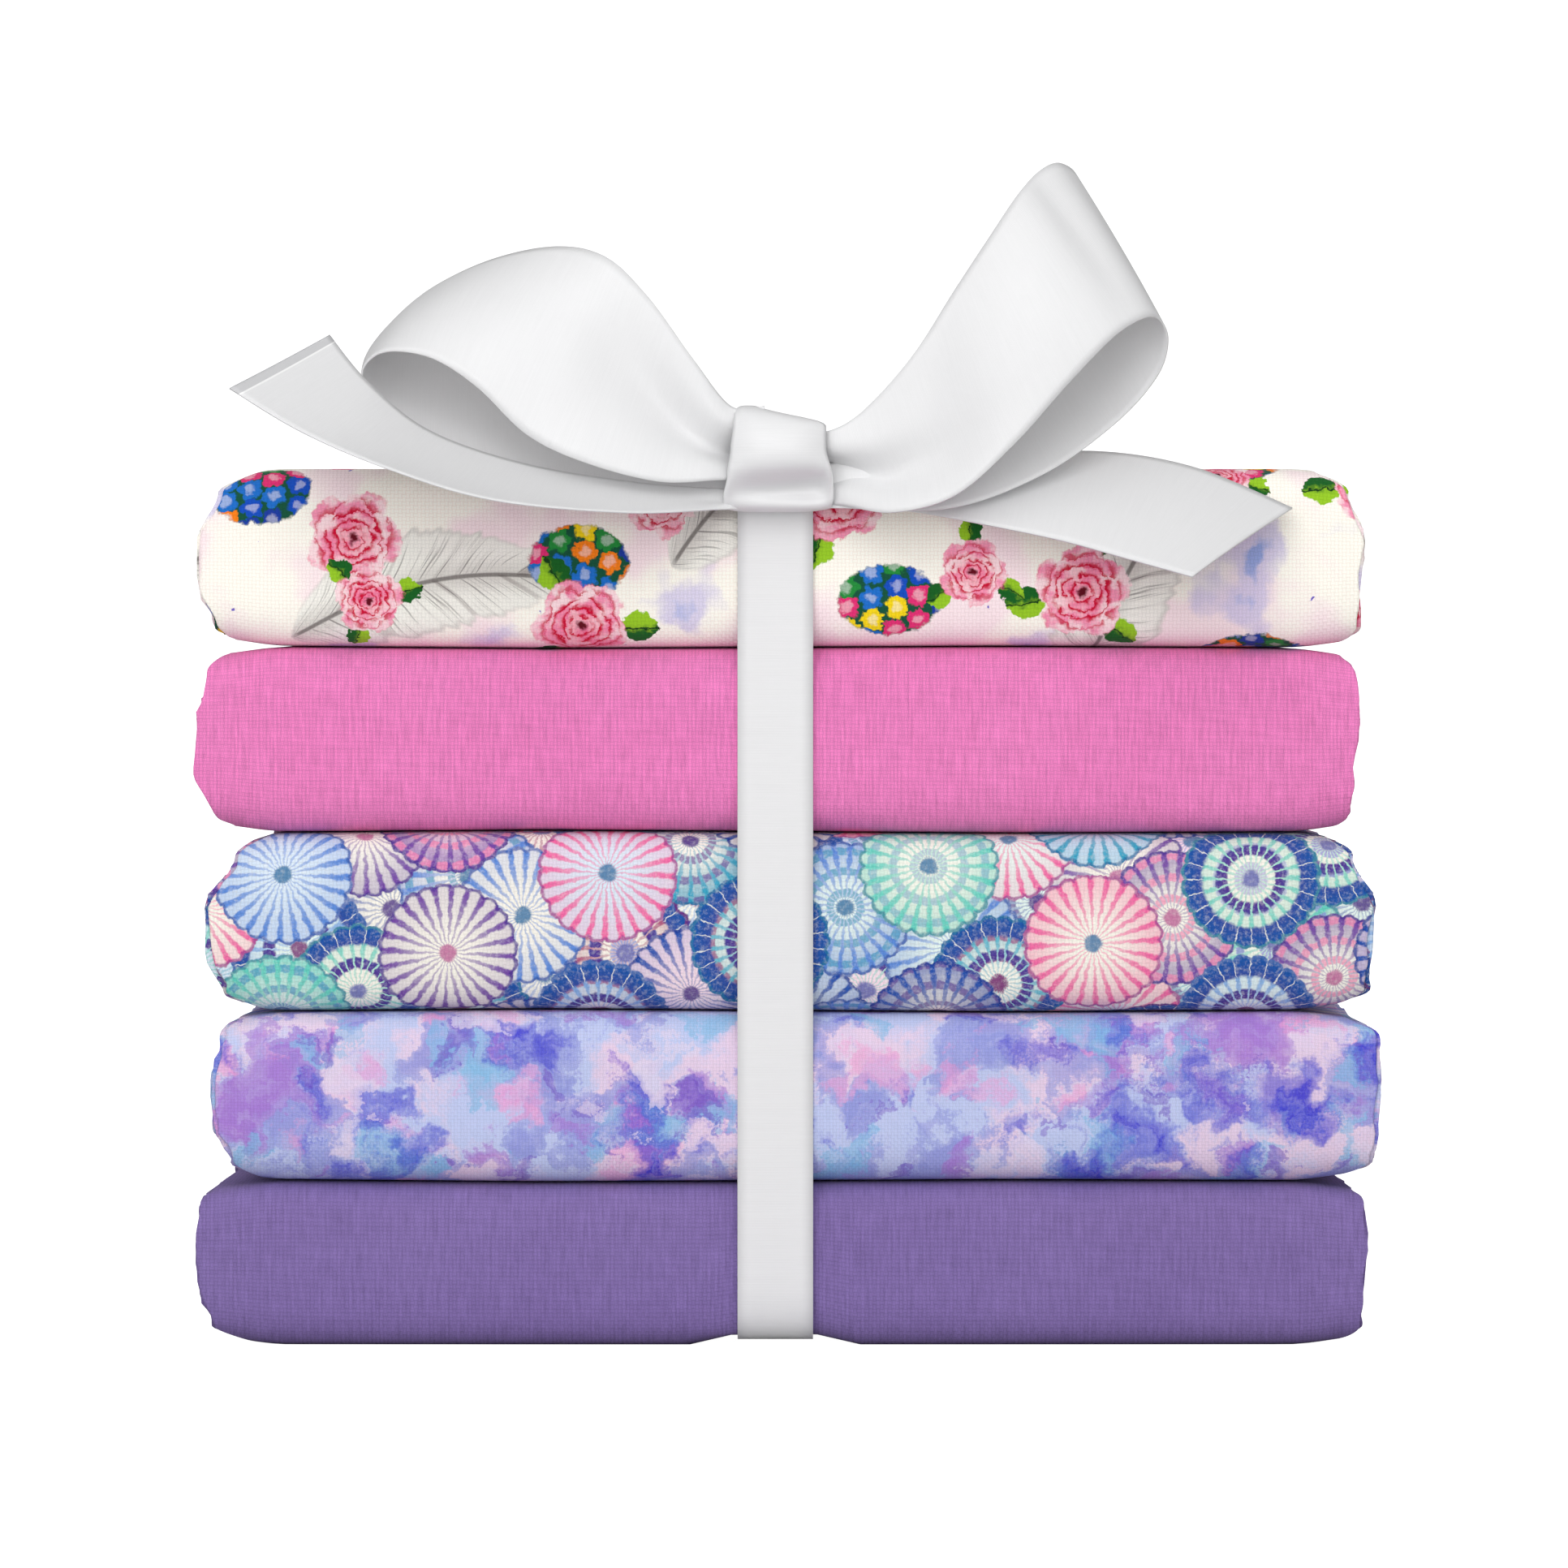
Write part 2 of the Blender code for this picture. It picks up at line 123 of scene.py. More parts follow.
Row = namedtuple("Row", "far_x far_z near_x near_z middle_y lean bulge")
LEFT_LOOP = (
    Row(-7.4, 122.0, -8.6, 112.4, -7.0, 2.0, 1.0),
    Row(-12.2, 128.1, -16.5, 112.2, -8.4, 3.0, -0.5),
    Row(-18.0, 136.1, -26.0, 114.6, -8.4, 4.0, -0.8),
    Row(-23.5, 141.3, -33.6, 118.2, -7.2, 5.0, 0.6),
    Row(-30.0, 142.7, -40.0, 124.3, -5.0, 9.0, 1.4),
    Row(-38.5, 141.1, -45.6, 128.0, -2.0, 14.0, 1.4),
    Row(-46.5, 137.4, -50.5, 129.1, 1.2, 17.5, 1.0),
    Row(-51.6, 133.1, -53.6, 128.4, 4.0, 19.5, 0.5),
    Row(-53.5, 130.5, -55.1, 125.8, 6.2, 20.0, 0.5),
    Row(-52.6, 131.0, -52.7, 121.4, 6.4, 19.5, 0.5),
    Row(-44.6, 130.4, -44.2, 115.6, 5.7, 17.0, 1.0),
    Row(-32.5, 122.2, -31.6, 112.6, 3.1, 13.5, 1.0),
    Row(-19.5, 118.2, -19.2, 110.6, -0.3, 7.5, 0.6),
    Row(-8.1, 117.2, -8.6, 110.4, -3.2, 2.4, 0.0),
)
RIGHT_LOOP = (
    Row(5.7, 118.9, 6.7, 109.2, -6.5, -1.2, 1.0),
    Row(10.2, 121.8, 13.5, 108.2, -9.0, 3.0, -0.4),
    Row(16.2, 128.6, 21.6, 110.4, -10.6, 4.0, -0.8),
    Row(21.6, 137.0, 29.2, 117.0, -11.2, 4.5, 0.8),
    Row(26.2, 144.0, 36.2, 124.8, -10.8, 5.0, 1.4),
    Row(29.8, 149.4, 41.8, 130.6, -9.4, 6.0, 1.2),
    Row(32.6, 152.6, 45.6, 133.2, -7.0, 7.0, 0.8),
    Row(35.4, 153.5, 48.0, 133.2, -3.8, 7.5, 0.4),
    Row(37.8, 151.2, 49.2, 130.4, -0.6, 8.0, 0.3),
    Row(38.0, 144.0, 47.8, 125.8, 2.0, 9.0, 0.6),
    Row(34.0, 134.6, 42.4, 119.8, 3.0, 12.0, 1.0),
    Row(27.2, 126.0, 33.0, 113.2, -0.6, 11.0, 1.0),
    Row(17.6, 119.4, 21.0, 108.8, -5.4, 5.0, 0.6),
    Row(6.5, 114.8, 6.7, 108.8, -4.9, 1.6, 0.0),
)
LEFT_TAIL = (
    Row(-8.5, 111.2, -8.8, 108.6, -6.4, 2.5, 0.0),
    Row(-20.5, 112.2, -21.0, 108.2, -10.2, 9.5, -0.4),
    Row(-34.4, 114.6, -38.0, 109.8, -12.5, 15.5, -0.6),
    Row(-46.4, 118.8, -51.4, 113.8, -13.8, 16.2, -0.6),
    Row(-54.2, 125.0, -62.6, 118.6, -13.9, 14.8, -0.4),
    Row(-59.3, 131.2, -71.7, 124.1, -13.4, 15.6, -0.2),
)
RIGHT_TAIL = (
    Row(6.2, 112.8, 6.2, 109.2, -1.4, 1.0, 0.0),
    Row(15.7, 113.6, 15.7, 108.4, -1.2, 2.0, 0.2),
    Row(27.3, 115.0, 24.7, 106.8, -2.9, 9.0, 0.6),
    Row(39.4, 116.2, 35.2, 104.6, -3.6, 13.5, 0.8),
    Row(52.4, 114.2, 44.6, 102.0, -6.2, 15.0, 0.6),
    Row(65.4, 108.8, 52.1, 99.9, -9.6, 14.5, 0.3),
)

# A soft trough in a strip: its place along the strip as a share, its place across it, how far it
# moves across for each millimetre, its depth, its reach along and width across, and how well the
# strip's edges stay where they are
Crease = namedtuple("Crease", "at share slant deep reach wide pinned")
LEFT_LOOP_CREASES = (
    Crease(0.0, 0.62, -0.011, 4.6, 19.0, 0.22, 0.8),
    Crease(0.0, 0.88, 0.0, 0.5, 12.0, 0.08, 0.5),
    Crease(1.0, 0.5, 0.0, 0.8, 9.0, 0.25, 0.8),
)
RIGHT_LOOP_CREASES = (
    Crease(0.0, 0.52, 0.010, 4.6, 20.0, 0.20, 0.8),
    Crease(0.0, 0.88, 0.0, 0.5, 12.0, 0.08, 0.5),
    Crease(0.425, 0.30, 0.0, 0.9, 2.6, 0.60, 0.0),
)
TAIL_CREASES = (
    Crease(0.0, 0.5, 0.0, 0.5, 10.0, 0.25, 0.6),
)

# The knot: y is measured from the stack's front, and each width belongs to a height
KNOT_MIDDLE_Y = -3.7
KNOT_REACH = 6.8
KNOT_POWER = 2.5
KNOT_SEAM = -math.pi / 4
KNOT_AROUND = 96
KNOT_ACROSS = 24
KNOT_WIDE = 13.0
KNOT_DENT_HEIGHT = 111.0
KNOT_DENT_REACH = 2.1
KNOT_DENT_DEEP = 5.2
KNOT_FRONT_PINCH = 2.6
KNOT_BACK_PINCH = 0.7
KNOT_HEIGHTS = (108.4, 110.0, 113.0, 116.5, 119.4, 122.0)
KNOT_LEFT = (-8.6, -8.3, -7.8, -7.3, -7.0, -6.7)
KNOT_RIGHT = (5.6, 5.9, 5.8, 4.9, 4.9, -3.5)

# The bow's strips: which way the outer side faces, the x inside the knot where a strip starts,
# whether both its ends lie there, and whether its free end is hemmed
Strip = namedtuple("Strip", "node rows side inner_x creases both hem")
STRIPS = (
    Strip("bow_loop_left", LEFT_LOOP, -1, -3.0, LEFT_LOOP_CREASES, True, False),
    Strip("bow_loop_right", RIGHT_LOOP, 1, 1.5, RIGHT_LOOP_CREASES, True, False),
    Strip("bow_tail_left", LEFT_TAIL, -1, -4.0, TAIL_CREASES, False, True),
    Strip("bow_tail_right", RIGHT_TAIL, 1, 2.5, TAIL_CREASES, False, False),
)
STRIP_STEPS = 12
STRIP_ACROSS = 20
INNER_SETBACK = 2.6
INNER_LEAN = -3.2

# The view
FRAME_WIDE = 203.4
FRAME_CENTRE_X = -0.47
FRAME_CENTRE_Z = 73.05
CAMERA_DISTANCE = 2200.0
CAMERA_TILT = 0.6
WORLD_LIGHT = 0.53
Lamp = namedtuple("Lamp", "name place size power")
LAMPS = (
    Lamp("key", (-0.16, -0.46, 0.52), 0.35, 0.58),
    Lamp("front", (-0.1, -0.8, 0.34), 0.6, 2.85),
    Lamp("fill", (0.7, -1.5, 0.5), 1.0, 1.6),
)
LAMP_AIM = (0, 0, 0.07)


def smooth_step(share):
    share = min(max(share, 0.0), 1.0)
    return share * share * (3 - 2 * share)


def between(table, knots, place):
    """A smooth curve through a table's values, given where each value belongs."""
    if place <= knots[0]:
        return table[0]
    for i in range(len(knots) - 1):
        if place <= knots[i + 1]:
            share = (place - knots[i]) / (knots[i + 1] - knots[i])
            return table[i] + (table[i + 1] - table[i]) * smooth_step(share)
    return table[-1]


def end_place(table, share):
    """Where a cut ends at this share of its height: rounded at the top and the bottom."""
    knots = END_SHARES
    if share < knots[1]:
        part = share / knots[1]
        return table[0] + (table[1] - table[0]) * part * (2 - part)
    if share > knots[-2]:
        part = (share - knots[-2]) / (1 - knots[-2])
        return table[-2] + (table[-1] - table[-2]) * part * part
    return between(table, knots, share)


def squared_arc(turn, power):
    out = math.cos(turn)
    up = math.sin(turn)
    return (
        math.copysign(abs(out) ** (2 / power), out),
        math.copysign(abs(up) ** (2 / power), up),
    )


# Where the folded cloth lies


def ply_levels():
    """The level of each ply along a strip folded in three, then in half until it is one wide."""
    columns = [[j, 2 * THIRDS - 1 - j, 2 * THIRDS + j] for j in range(THIRDS)]
    while len(columns) > 1:
        half = len(columns) // 2
        turned = columns[:half - 1:-1]
        columns = [low + high[::-1] for low, high in zip(columns[:half], turned)]
    return [columns[0].index(ply) for ply in range(PLIES)]


def packet_pitch():
    height = (MEETINGS[-1].left - PACKET_GAP * (len(CUTS) - 1)) / len(CUTS)
    return (height - CLOTH_THICK) / (PLIES - 1)


def strip_section(cut):
    """The folded strip seen from its end: (distance behind the front, level's share, outer).

    outer is 1 on the packet's lowest and highest plies and 0 inside it.
    """
    levels = ply_levels()
    top = PLIES - 1
    pitch = packet_pitch()
    front_middle = cut.front + NOSE_REACH
    reach = NOSE_REACH - CLOTH_THICK / 2
    deepest = PLIES / 4 * pitch
    back_middle = PACKET_DEPTH - deepest - cut.back - 0.4
    path = []
    chance = random.Random(cut.node)
    for ply, level in enumerate(levels):
        last = ply == top
        towards_front = ply % 2 == 0
        partner = level if last else levels[ply + 1]
        middle = (level + partner) / 2
        half = abs(partner - level) / 2
        outer = 1.0 if level in (0, top) else 0.0
        if ply == 0:
            path.append((PACKET_DEPTH - FREE_END_SHORT, level / top, outer))
        start = path[-1][0]
        if last:
            end = PACKET_DEPTH - FREE_END_SHORT * 0.7
        elif towards_front:
            end = front_middle
        else:
            end = back_middle - chance.uniform(0, BACK_STAGGER)
        steps = RUN_STEPS_SEEN if outer else RUN_STEPS_HIDDEN
        for step in range(1, steps + 1):
            path.append((start + (end - start) * step / steps, level / top, outer))
        if last:
            break
        rising = 1 if partner > level else -1
        finer = FRONT_STEPS_EACH if towards_front else BACK_STEPS_EACH
        outermost = half > top / 2 - 1
        steps = FOLD_STEPS + round(half * finer) + (OUTER_FOLD_STEPS if outermost else 0)
        for step in range(1, steps + 1):
            turn = math.pi * step / steps - math.pi / 2
            out, up = squared_arc(turn, NOSE_POWER if towards_front else 2.0)
            if towards_front:
                y = front_middle - out * reach * half / (top / 2)
            else:
                y = end + out * half * pitch
            path.append((y, (middle + rising * up * half) / top, outer))
    return path


def meeting(number, x):
    places = MEETING_PLACES
    heights = MEETINGS[number]
    i = sum(x > place for place in places[1:-1])
    share = (x - places[i]) / (places[i + 1] - places[i])
    return heights[i] + (heights[i + 1] - heights[i]) * share


def channel(x):
    """How far the lowest cut is lifted where the ribbon runs under it."""
    off = abs(x - BAND_MIDDLE) - BAND_WIDTH / 2 - CHANNEL_MARGIN
    return CHANNEL_DEPTH * (1 - smooth_step(off / CHANNEL_SHOULDER))


def droop(x):
    from_end = HALF_WIDTH - abs(x)
    return END_DROOP * (1 - smooth_step(from_end / END_DROOP_REACH))


def cut_limits(number, x):
    low = meeting(number, x) + droop(x) + CLOTH_THICK / 2
    high = meeting(number + 1, x) - droop(x) - CLOTH_THICK / 2
    low += channel(x) if number == 0 else PACKET_GAP / 2
    high -= 0 if number == TOP_CUT else PACKET_GAP / 2
    return low, high


def end_wave(cut, y, share):
    depth = smooth_step(y / 30)
    return depth * (0.7 + 0.7 * math.sin(y / 17 + 9 * share + cut.phase))


def stations(left, right):
    """Places along the cut, close together near its two ends."""
    inner_left = left + EDGE_STEPS[-1]
    inner_right = right - EDGE_STEPS[-1]
    wide = inner_right - inner_left
    inner = [inner_left + wide * i / INNER_STATIONS for i in range(1, INNER_STATIONS)]
    near_left = [left + step for step in EDGE_STEPS]
    near_right = [right - step for step in EDGE_STEPS[::-1]]
    return [*near_left, *inner, *near_right]


def waves(x, z, phase):
    """The soft unevenness of a folded front, about -1 to 1."""
    return (
        0.45 * math.sin(x / 9.5 + 2.1 * math.sin(z / 8 + phase))
        + 0.30 * math.sin(x / 4.1 + z / 5.5 + 2 * phase)
        + 0.25 * math.sin(z / 2.3 + 1.3 * math.sin(x / 15 + phase))
    )


def folded_cut(number, cut):
    section = strip_section(cut)
    chance = random.Random(cut.slot)
    drift = [chance.uniform(-1, 1) for _ in range(PLIES * 2 + 2)]
    rows = []
    run = 0.0
    before = None
    for y, share, outer in section:
        low, high = cut_limits(number, 0)
        here = Vector((y, low + (high - low) * share))
        run += (here - before).length if before else 0.0
        before = here
        place = run / PACKET_DEPTH
        i = int(place)
        jitter = drift[i] + (drift[i + 1] - drift[i]) * smooth_step(place - i)
        inset = end_wave(cut, y, share) + END_JITTER * (1 + jitter)
        fray = END_FRAY * math.sin(run / 0.9 + 2.6 * math.sin(run / 2.3 + cut.phase))
        left = end_place(cut.left, share) + inset + fray
        right = end_place(cut.right, share) - inset * 0.8 + END_FRAY * math.sin(run / 1.1 + 3 * fray)
        rows.append((y, share, run, outer, stations(left, right)))
    points = []
    for y, share, run, outer, places in rows:
        frontness = 1 - smooth_step(y / 14)
        inside = math.sin(math.pi * share)
        for x in places:
            low, high = cut_limits(number, x)
            z = low + (high - low) * share
            recess = FRONT_RECESS * (abs(x) / HALF_WIDTH) ** 2.5 * (1 - y / PACKET_DEPTH)
            relief = 0.28 * waves(x, z, cut.phase) * frontness * (0.25 + 0.75 * inside)
            lift = 0.5 * inside * math.sin(x / 21 + y / 37 + cut.phase) * (1 - frontness)
            points.append((x, y + recess + relief, z + lift))
    columns = len(rows[0][4])
    grid = np.array(points).reshape(len(rows), columns, 3)
    runs = np.array([row[2] for row in rows])
    outers = np.array([row[3] for row in rows])
    return grid, runs, outers


def visible_weights(number, grid, outers):
    """How much of the picture each stretch of the strip deserves when it is baked."""
    weights = []
    for i in range(len(grid) - 1):
        y = float(grid[i, 0, 1] + grid[i + 1, 0, 1]) / 2
        z = float(grid[i, MIDDLE_STATION, 2] + grid[i + 1, MIDDLE_STATION, 2]) / 2
        low, high = cut_limits(number, 0)
        share = (z - low) / (high - low)
        outer = outers[i] and outers[i + 1]
        if outer and y < NOSE_REACH + 2:
            weights.append(WEIGHTS.front)
        elif outer and (number == TOP_CUT and share > 0.9 or number == 0 and share < 0.1):
            weights.append(WEIGHTS.outside)
        elif y > PACKET_DEPTH - 8:
            weights.append(WEIGHTS.back)
        else:
            weights.append(WEIGHTS.hidden)
    return np.array(weights)


# Meshes


def bake_place(across, along, margin):
    """Shares from 0 to 1 across and along a sheet, as a place in its baked picture."""
    return margin + (1 - 2 * margin) * np.stack([across, along], axis=-1)


def thick_sheet(name, grid, thick, uv, bake):
    """A closed sheet through a grid of points, with its two sides and its four edges.

    uv and bake give each grid point's place on the cloth and in a baked picture.
    """
    rows, columns = grid.shape[:2]
    along = np.gradient(grid, axis=0)
    across = np.gradient(grid, axis=1)
    normal = np.cross(along, across)
    normal /= np.maximum(np.linalg.norm(normal, axis=2, keepdims=True), 1e-9)
    sides = [grid + normal * thick / 2, grid - normal * thick / 2]
    points = np.concatenate([side.reshape(-1, 3) for side in sides]) * MM
    count = rows * columns
    index = np.arange(count).reshape(rows, columns)
    quads = []
    uvs = []
    bakes = []
    flat_uv = uv.reshape(-1, 2)
    flat_bake = bake.reshape(-1, 2)

    def add(corners, at, shifts=((0, 0),) * 4):
        quads.append(np.stack(corners, axis=-1).reshape(-1, 4))
        uvs.append(np.stack([flat_uv[k] for k in at], axis=-2).reshape(-1, 4, 2))
        baked = [flat_bake[k] + np.array(shift) for k, shift in zip(at, shifts)]
        bakes.append(np.stack(baked, axis=-2).reshape(-1, 4, 2))

    a, b = index[:-1, :-1], index[1:, :-1]
    c, d = index[1:, 1:], index[:-1, 1:]
    add((a, b, c, d), (a, b, c, d))
    add((a + count, d + count, c + count, b + count), (a, d, c, b))
    ends = (
        (index[:-1, 0], index[1:, 0], (-RIM_BAKED, 0), True),
        (index[:-1, -1], index[1:, -1], (RIM_BAKED, 0), False),
        (index[0, :-1], index[0, 1:], (0, -RIM_BAKED), False),
        (index[-1, :-1], index[-1, 1:], (0, RIM_BAKED), True),
    )
    for first, second, shift, turned in ends:
        still = (0, 0)
        if turned:
            add((first, first + count, second + count, second),
                (first, first, second, second), (still, shift, shift, still))
        else:
            add((first, second, second + count, first + count),
                (first, second, second, first), (still, still, shift, shift))
    faces = np.concatenate(quads)
    mesh = bpy.data.meshes.new(name)
    mesh.from_pydata(points.tolist(), [], faces.tolist())
    for layer, values in (("Cloth", uvs), ("OFBake", bakes)):
        mesh.uv_layers.new(name=layer)
        mesh.uv_layers[layer].data.foreach_set("uv", np.concatenate(values).reshape(-1))
    mesh.shade_smooth()
    mesh.update()
    piece = bpy.data.objects.new(name, mesh)
    bpy.context.scene.collection.objects.link(piece)
    return piece


def spread(values):
    total = np.concatenate([[0.0], np.cumsum(values)])
    return total / total[-1]


def cloth_piece(number, cut):
    grid, runs, outers = folded_cut(number, cut)
    columns = grid.shape[1]
    middle = grid[:, columns // 2]
    centre = runs[np.argmin(np.where(outers > 0, middle[:, 1], FAR_AWAY))]
    uv = np.stack([grid[:, :, 0], np.repeat((runs - centre)[:, None], columns, axis=1)], axis=-1)
    lengths = np.linalg.norm(np.diff(middle, axis=0), axis=1)
    down = spread(lengths * visible_weights(number, grid, outers))
    wide = (grid[:, :, 0] + BAKE_HALF_WIDTH) / (2 * BAKE_HALF_WIDTH)
    bake = bake_place(wide, np.repeat(down[:, None], columns, axis=1), CUT_MARGIN)
    shifted = grid + np.array([0, STACK_FRONT, 0])
    return thick_sheet(cut.node + "_cut", shifted, CLOTH_THICK, uv, bake)


# The ribbon's shapes


def curve_between(before, start, end, after, share):
    return 0.5 * (
        2 * start
        + (end - before) * share
        + (2 * before - 5 * start + 4 * end - after) * share ** 2
        + (3 * start - before - 3 * end + after) * share ** 3
    )


def smooth_rows(rows, steps):
    found = []
    for i in range(len(rows) - 1):
        around = [rows[min(max(k, 0), len(rows) - 1)] for k in range(i - 1, i + 3)]
        for step in range(steps):
            found.append(Row(*(curve_between(*four, step / steps) for four in zip(*around))))
    return [*found, rows[-1]]


def strip_grid(rows, strip):
    """The points of a ribbon strip between its far and near edges.

    A crease pushes them along the outward side. In the knot, where the strip turns sharply, that side
    is the one just outside the knot.
    """
    rows = smooth_rows(rows, STRIP_STEPS)
    far = np.array([(r.far_x, r.middle_y + r.lean / 2, r.far_z) for r in rows])
    near = np.array([(r.near_x, r.middle_y - r.lean / 2, r.near_z) for r in rows])
    bulge = np.array([r.bulge for r in rows])
    middle = (far + near) / 2
    along = np.gradient(middle, axis=0)
    outward = np.cross(along, far - near) * strip.side
    outward /= np.linalg.norm(outward, axis=1, keepdims=True)
    turned = STRIP_STEPS + 2
    outward[:turned] = outward[turned]
    if strip.both:
        outward[-turned:] = outward[-turned - 1]
    runs = np.concatenate([[0], np.cumsum(np.linalg.norm(np.diff(middle, axis=0), axis=1))])
    share = np.linspace(0, 1, STRIP_ACROSS + 1)
    grid = far[:, None] + (near - far)[:, None] * share[None, :, None]
    rise = bulge[:, None] * 4 * share * (1 - share)
    for crease in strip.creases:
        at = crease.at * runs[-1]
        along_it = np.exp(-(((runs - at) / crease.reach) ** 2))
        middle_of_it = crease.share + crease.slant * (runs - at)
        across_it = np.exp(-(((share[None, :] - middle_of_it[:, None]) / crease.wide) ** 2))
        edges = np.sin(math.pi * np.clip(share, 0.02, 0.98)) ** crease.pinned
        rise = rise - crease.deep * along_it[:, None] * across_it * edges[None, :]
    return grid + outward[:, None] * rise[:, :, None], runs, share


def ribbon_strip(strip):
    rows = bend_in(strip.rows, strip.inner_x)
    if strip.both:
        rows = bend_in(rows[::-1], strip.inner_x)[::-1]
    grid, runs, share = strip_grid(rows, strip)
    if strip.side < 0:
        grid = grid[:, ::-1]
    grid = grid + np.array([0, STACK_FRONT, 0])
    name = strip.node + "_satin"
    return ribbon_sheet(name, grid, runs, share, RIBBON_WIDE, strip.hem), runs[-1]


def ribbon_sheet(name, grid, runs, share, width, hem=False):
    rows, columns = grid.shape[:2]
    along = np.repeat(runs[:, None], columns, axis=1)
    across = np.repeat((share * width)[None, :], rows, axis=0)
    uv = np.stack([across, along - runs[-1] if hem else along], axis=-1)
    bake = bake_place(across / width, along / runs[-1], RIBBON_MARGIN)
    return thick_sheet(name, grid, RIBBON_THICK, uv, bake)


# Shader graphs


class Value:
    """A socket that takes part in sums."""

    def __init__(self, graph, socket):
        self.graph = graph
        self.socket = socket

    def __add__(self, other):
        return self.graph.math("ADD", self, other)

    def __sub__(self, other):
        return self.graph.math("SUBTRACT", self, other)

    def __mul__(self, other):
        return self.graph.math("MULTIPLY", self, other)

    def __truediv__(self, other):
        return self.graph.math("DIVIDE", self, other)

    def __rsub__(self, other):
        return self.graph.math("SUBTRACT", other, self)

    __radd__ = __add__
    __rmul__ = __mul__


class Graph:
    """Makes the nodes of one material."""

    def __init__(self, name):
        self.material = bpy.data.materials.new(name)
        self.material.use_nodes = True
        self.nodes = self.material.node_tree.nodes
        self.links = self.material.node_tree.links
        self.shader = self.nodes["Principled BSDF"]

    def set(self, socket, value):
        if isinstance(value, Value):
            self.links.new(value.socket, socket)
        elif isinstance(value, tuple) and len(value) == 3 and len(socket.default_value) == 4:
            socket.default_value = (*value, 1)
        else:
            socket.default_value = value

    def node(self, kind, out=0, inputs=(), **settings):
        node = self.nodes.new(kind)
        for key, value in settings.items():
            setattr(node, key, value)
        for key, value in dict(inputs).items():
            self.set(node.inputs[key], value)
        return Value(self, node.outputs[out])

    def math(self, operation, *values):
        return self.node("ShaderNodeMath", inputs=enumerate(values), operation=operation)

    def point(self, u, v, w=0.0):
        return self.node("ShaderNodeCombineXYZ", inputs=enumerate((u, v, w)))

    def split(self, vector):
        node = self.nodes.new("ShaderNodeSeparateXYZ")
        self.set(node.inputs[0], vector)
        return [Value(self, node.outputs[i]) for i in range(3)]

    def step(self, value, low, high):
        """0 below low, 1 above high and smooth between, or the other way round."""
        node = self.nodes.new("ShaderNodeMapRange")
        node.interpolation_type = "SMOOTHSTEP"
        rising = high > low
        ends = (low, high, 0.0, 1.0) if rising else (high, low, 1.0, 0.0)
        for i, number in enumerate((value, *ends)):
            self.set(node.inputs[i], number)
        return Value(self, node.outputs[0])

    def mix(self, share, first, second):
        node = self.nodes.new("ShaderNodeMix")
        node.data_type = "RGBA"
        node.clamp_factor = True
        self.set(node.inputs[0], share)
        self.set(node.inputs[6], first)
        self.set(node.inputs[7], second)
        return Value(self, node.outputs[2])

    def noise(self, place, scale, detail=2.0, rough=0.5, out=0):
        return self.node("ShaderNodeTexNoise", out,
                         {"Vector": place, "Scale": scale, "Detail": detail, "Roughness": rough})

    def chance(self, place):
        """Random numbers for a cell: one number and three more."""
        node = self.nodes.new("ShaderNodeTexWhiteNoise")
        self.set(node.inputs["Vector"], place)
        numbers = self.node("ShaderNodeSeparateColor", inputs={0: Value(self, node.outputs["Color"])})
        sockets = numbers.socket.node.outputs
        return [Value(self, node.outputs["Value"]), *(Value(self, s) for s in sockets)]

    def choose(self, share, colours):
        """One of several colours, by a random number."""
        node = self.nodes.new("ShaderNodeValToRGB")
        node.color_ramp.interpolation = "CONSTANT"
        elements = node.color_ramp.elements
        while len(elements) < len(colours):
            elements.new(0.5)
        for k, colour in enumerate(colours):
            elements[k].position = k / len(colours)
            elements[k].color = (*linear(colour), 1)
        self.set(node.inputs[0], share)
        return Value(self, node.outputs[0])

    def place(self):
        """Where a point lies on the flat cloth, in millimetres."""
        uv = self.node("ShaderNodeUVMap", uv_map="Cloth")
        return self.split(uv)[:2]


def linear(colour):
    """An sRGB colour in 0 to 255 as the linear values that a shader wants."""
    found = []
    for part in colour:
        part = part / 255
        found.append(part / 12.92 if part <= 0.04045 else ((part + 0.055) / 1.055) ** 2.4)
    return tuple(found)


# How much of the slubs stands upright, and the weave's mean height
UPRIGHT_SHARE = 0.72
MEAN_HEIGHT = 0.62


def weave(g, u, v, colour, pitch, contrast, slub):
    """Threads over and under each other in relief, with painted light and shade in the colour
    (lighter on the threads' crowns, darker where they dip), and uneven ones among them.
    """
    across = u * (math.pi / pitch)
    down = v * (math.pi / pitch)
    warp = g.math("ABSOLUTE", g.math("SINE", across))
    weft = g.math("ABSOLUTE", g.math("SINE", down))
    checks = g.math("FLOOR", u * (1 / pitch)) + g.math("FLOOR", v * (1 / pitch))
    over = g.math("MODULO", g.math("ABSOLUTE", checks), 2.0)
    height = warp * over + weft * (1.0 - over)
    lying = g.noise(g.point(u * 0.16, v * 1.5 + u * 0.12), 1.0, 3.0, 0.65)
    standing = g.noise(g.point(u * 2.4, v * 0.22, 7.0), 1.0, 3.0, 0.65)
    streaks = lying * (1 - UPRIGHT_SHARE) + standing * UPRIGHT_SHARE
    # painted light and shade: the colour is lighter where the weave's height is high and darker
    # between the threads where it is low; the streaks add the slubs' uneven tone
    shade = (1.0 - contrast * MEAN_HEIGHT) + height * contrast + (streaks - 0.5) * slub
    hue = g.node("ShaderNodeHueSaturation", inputs={"Color": colour, "Value": shade})
    return hue, height


